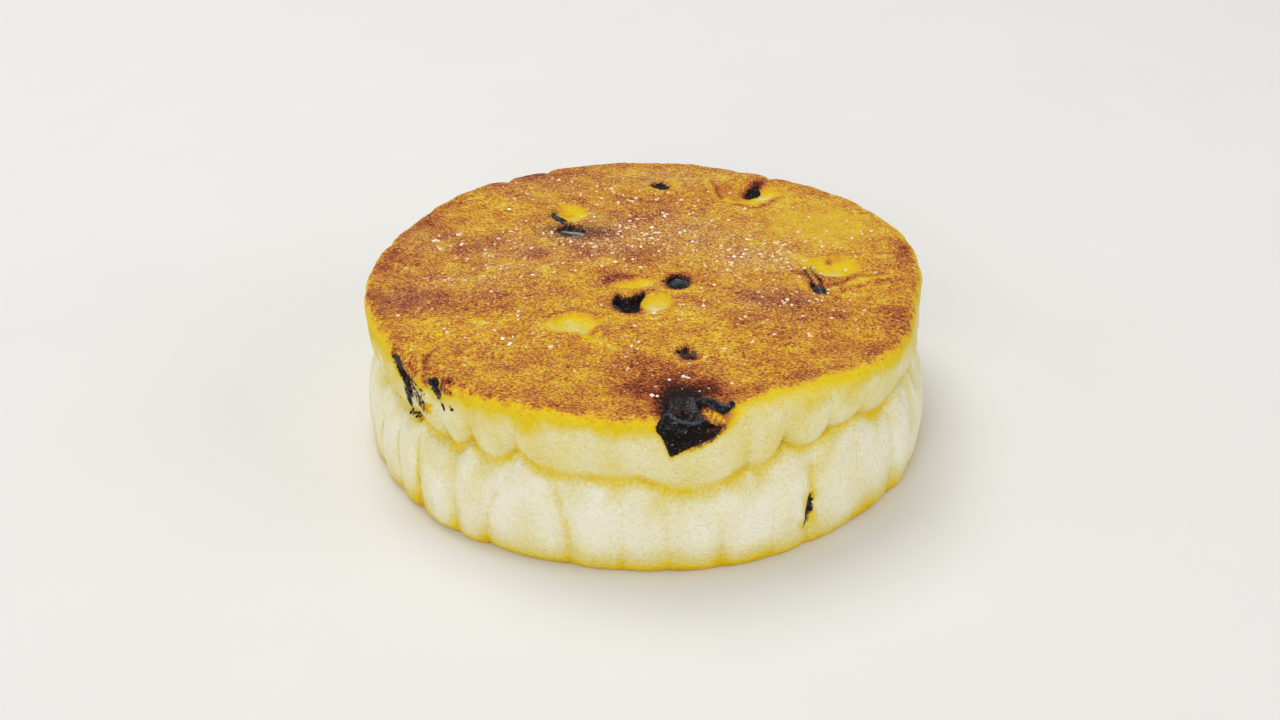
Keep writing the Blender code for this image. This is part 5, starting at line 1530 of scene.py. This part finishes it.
def scattered_grains(middles, sizes, rng, rough):
    """Blocky grains: cubes, their corners pushed about by a share of their size, tumbled and put down."""
    count = len(middles)
    corners = CUBE_CORNERS[None] * sizes[:, None, :] * (1.0 + rng.uniform(-rough, rough, (count, 8, 3)))
    flattened = np.array([1.0, 1.0, GRAIN_FLATNESS])
    corners = np.einsum("nij,nkj->nki", tumbled(count, rng), corners) * flattened + middles[:, None, :]
    faces = (CUBE_FACES[None] + 8 * np.arange(count)[:, None, None]).reshape(-1, 4)
    return corners.reshape(-1, 3), faces.tolist()


sugar_rng = np.random.default_rng(SUGAR_SEED)
places = np.vstack([
    np.array([x, y]) + sugar_rng.normal(size=(count, 2)) * np.array([half_length, half_width]) * SUGAR_SPREAD
    for x, y, half_length, half_width, count in SUGAR_FALLS
])
places = places[np.hypot(*places.T) < RIM_RADIUS - SUGAR_EDGE]
for x, y, half_length, half_width, _, turn, _ in TOP_CURRANTS.values():
    away = turned(places[:, 0] - x, places[:, 1] - y, half_length, half_width, turn)
    places = places[away > CLEAR_OF_CURRANT]
least_grain, most_grain = GRAIN_SIZES
share = sugar_rng.uniform(0.0, 1.0, (len(places), 1)) ** GRAIN_POWER
grain_sizes = least_grain + (most_grain - least_grain) * share
grain_sizes = grain_sizes * sugar_rng.uniform(*GRAIN_SIDES, (len(places), 3))
lumps = np.array(SUGAR_LUMPS)
places = np.vstack([places, lumps[:, :2]])
grain_sizes = np.vstack([grain_sizes, lumps[:, 2:] * sugar_rng.uniform(*LUMP_SIDES, (len(lumps), 3))])
grain_middles = np.column_stack([places, crust_height(*places.T)])
grain_middles[:, 2] += unevenness(grain_middles) + GRAIN_RISE * grain_sizes.mean(axis=1)
sugar_points, sugar_faces = scattered_grains(grain_middles, grain_sizes, sugar_rng, GRAIN_ROUGHNESS)
# Small grains half melted into the hot crust and took on its colour, and the large ones stayed white, from
# one size to another and more or less by chance
WHITE_SIZES, WHITE_CHANCE = (0.10, 0.42), 0.35
whiteness = smooth_step(*WHITE_SIZES, grain_sizes.mean(axis=1))
whiteness += sugar_rng.uniform(-WHITE_CHANCE, WHITE_CHANCE, len(places))
sugar_material, sugar_tree, sugar_shader = new_material("sugar_grain", Roughness=0.30, Specular_IOR_Level=0.5)
white = painted(sugar_tree, "whiteness")
white = plus_share(sugar_tree, speckle(sugar_tree, 0.3), 0.15, white)
sugar_tree.links.new(ramp(sugar_tree, white, (
    (0.0, srgb(224, 172, 92)), (0.45, srgb(236, 206, 150)), (1.0, srgb(248, 234, 210)),
)), sugar_shader.inputs["Base Color"])
sugar = make_piece("sugar_grains", sugar_points, sugar_faces, sugar_material)
paint(sugar, "whiteness", np.repeat(np.clip(whiteness, 0.0, 1.0), 8))
sugar.data.shade_flat()
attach(sugar, "root")

# --------------------------------------------------------------------------------------------------
# The studio: a pale plain floor, an even pale surround and soft lamps above and in front, with the camera
# where the picture was taken from, about thirty degrees above the cake.

FLOOR_SIZE = 3.0
CAMERA_EYE = (-0.00066, -0.16802, 0.10471)
CAMERA_TILT = 59.70
CAMERA_LENS = 45.67
# Soft lamps: name, place, size and power; each faces a point just above the middle of the cake's foot
LAMP_TARGET = (0.0, 0.0, 0.01)
LAMPS = (
    ("lamp_over", (-0.14, 0.22, 0.58), 0.34, 1.75),
    ("lamp_front", (-0.16, -0.64, 0.32), 0.40, 1.62),
    ("lamp_left", (-0.62, -0.10, 0.30), 0.40, 0.50),
    ("lamp_right", (0.62, -0.16, 0.30), 0.40, 1.10),
)
SURROUND = 0.46

floor_material, floor_tree, floor_shader = new_material("pale_floor", Roughness=0.85)
floor_colour = ramp(floor_tree, plus_share(floor_tree, speckle(floor_tree, 30.0), 0.25, 0.5), (
    (0.0, srgb(228, 226, 222)), (1.0, srgb(232, 230, 226)),
))
floor_tree.links.new(floor_colour, floor_shader.inputs["Base Color"])
floor_corners = np.array([(-1.0, -1.0, 0.0), (1.0, -1.0, 0.0), (1.0, 1.0, 0.0), (-1.0, 1.0, 0.0)])
floor = make_piece("studio_floor", floor_corners * FLOOR_SIZE / 2.0 / MM, [(0, 1, 2, 3)], floor_material)

for name, place, size, power in LAMPS:
    lamp = bpy.data.lights.new(name, "AREA")
    lamp.size, lamp.energy = size, power
    lamp_object = bpy.data.objects.new(name, lamp)
    lamp_object.location = place
    x, y, z = np.array(LAMP_TARGET) - np.array(place)
    lamp_object.rotation_euler = (math.atan2(math.hypot(x, y), -z), 0.0, math.atan2(-x, y))
    bpy.context.scene.collection.objects.link(lamp_object)

world = bpy.data.worlds.new("studio_surround")
world.use_nodes = True
surround = world.node_tree.nodes["Background"].inputs
surround["Color"].default_value = (1.0, 1.0, 1.0, 1.0)
surround["Strength"].default_value = SURROUND
bpy.context.scene.world = world
bpy.context.scene.view_settings.view_transform = "Standard"

camera_data = bpy.data.cameras.new("camera")
camera_data.lens = CAMERA_LENS
camera_data.clip_start = 0.01
camera = bpy.data.objects.new("camera", camera_data)
camera.location = CAMERA_EYE
camera.rotation_euler = (math.radians(CAMERA_TILT), 0.0, 0.0)
bpy.context.scene.collection.objects.link(camera)
bpy.context.scene.camera = camera
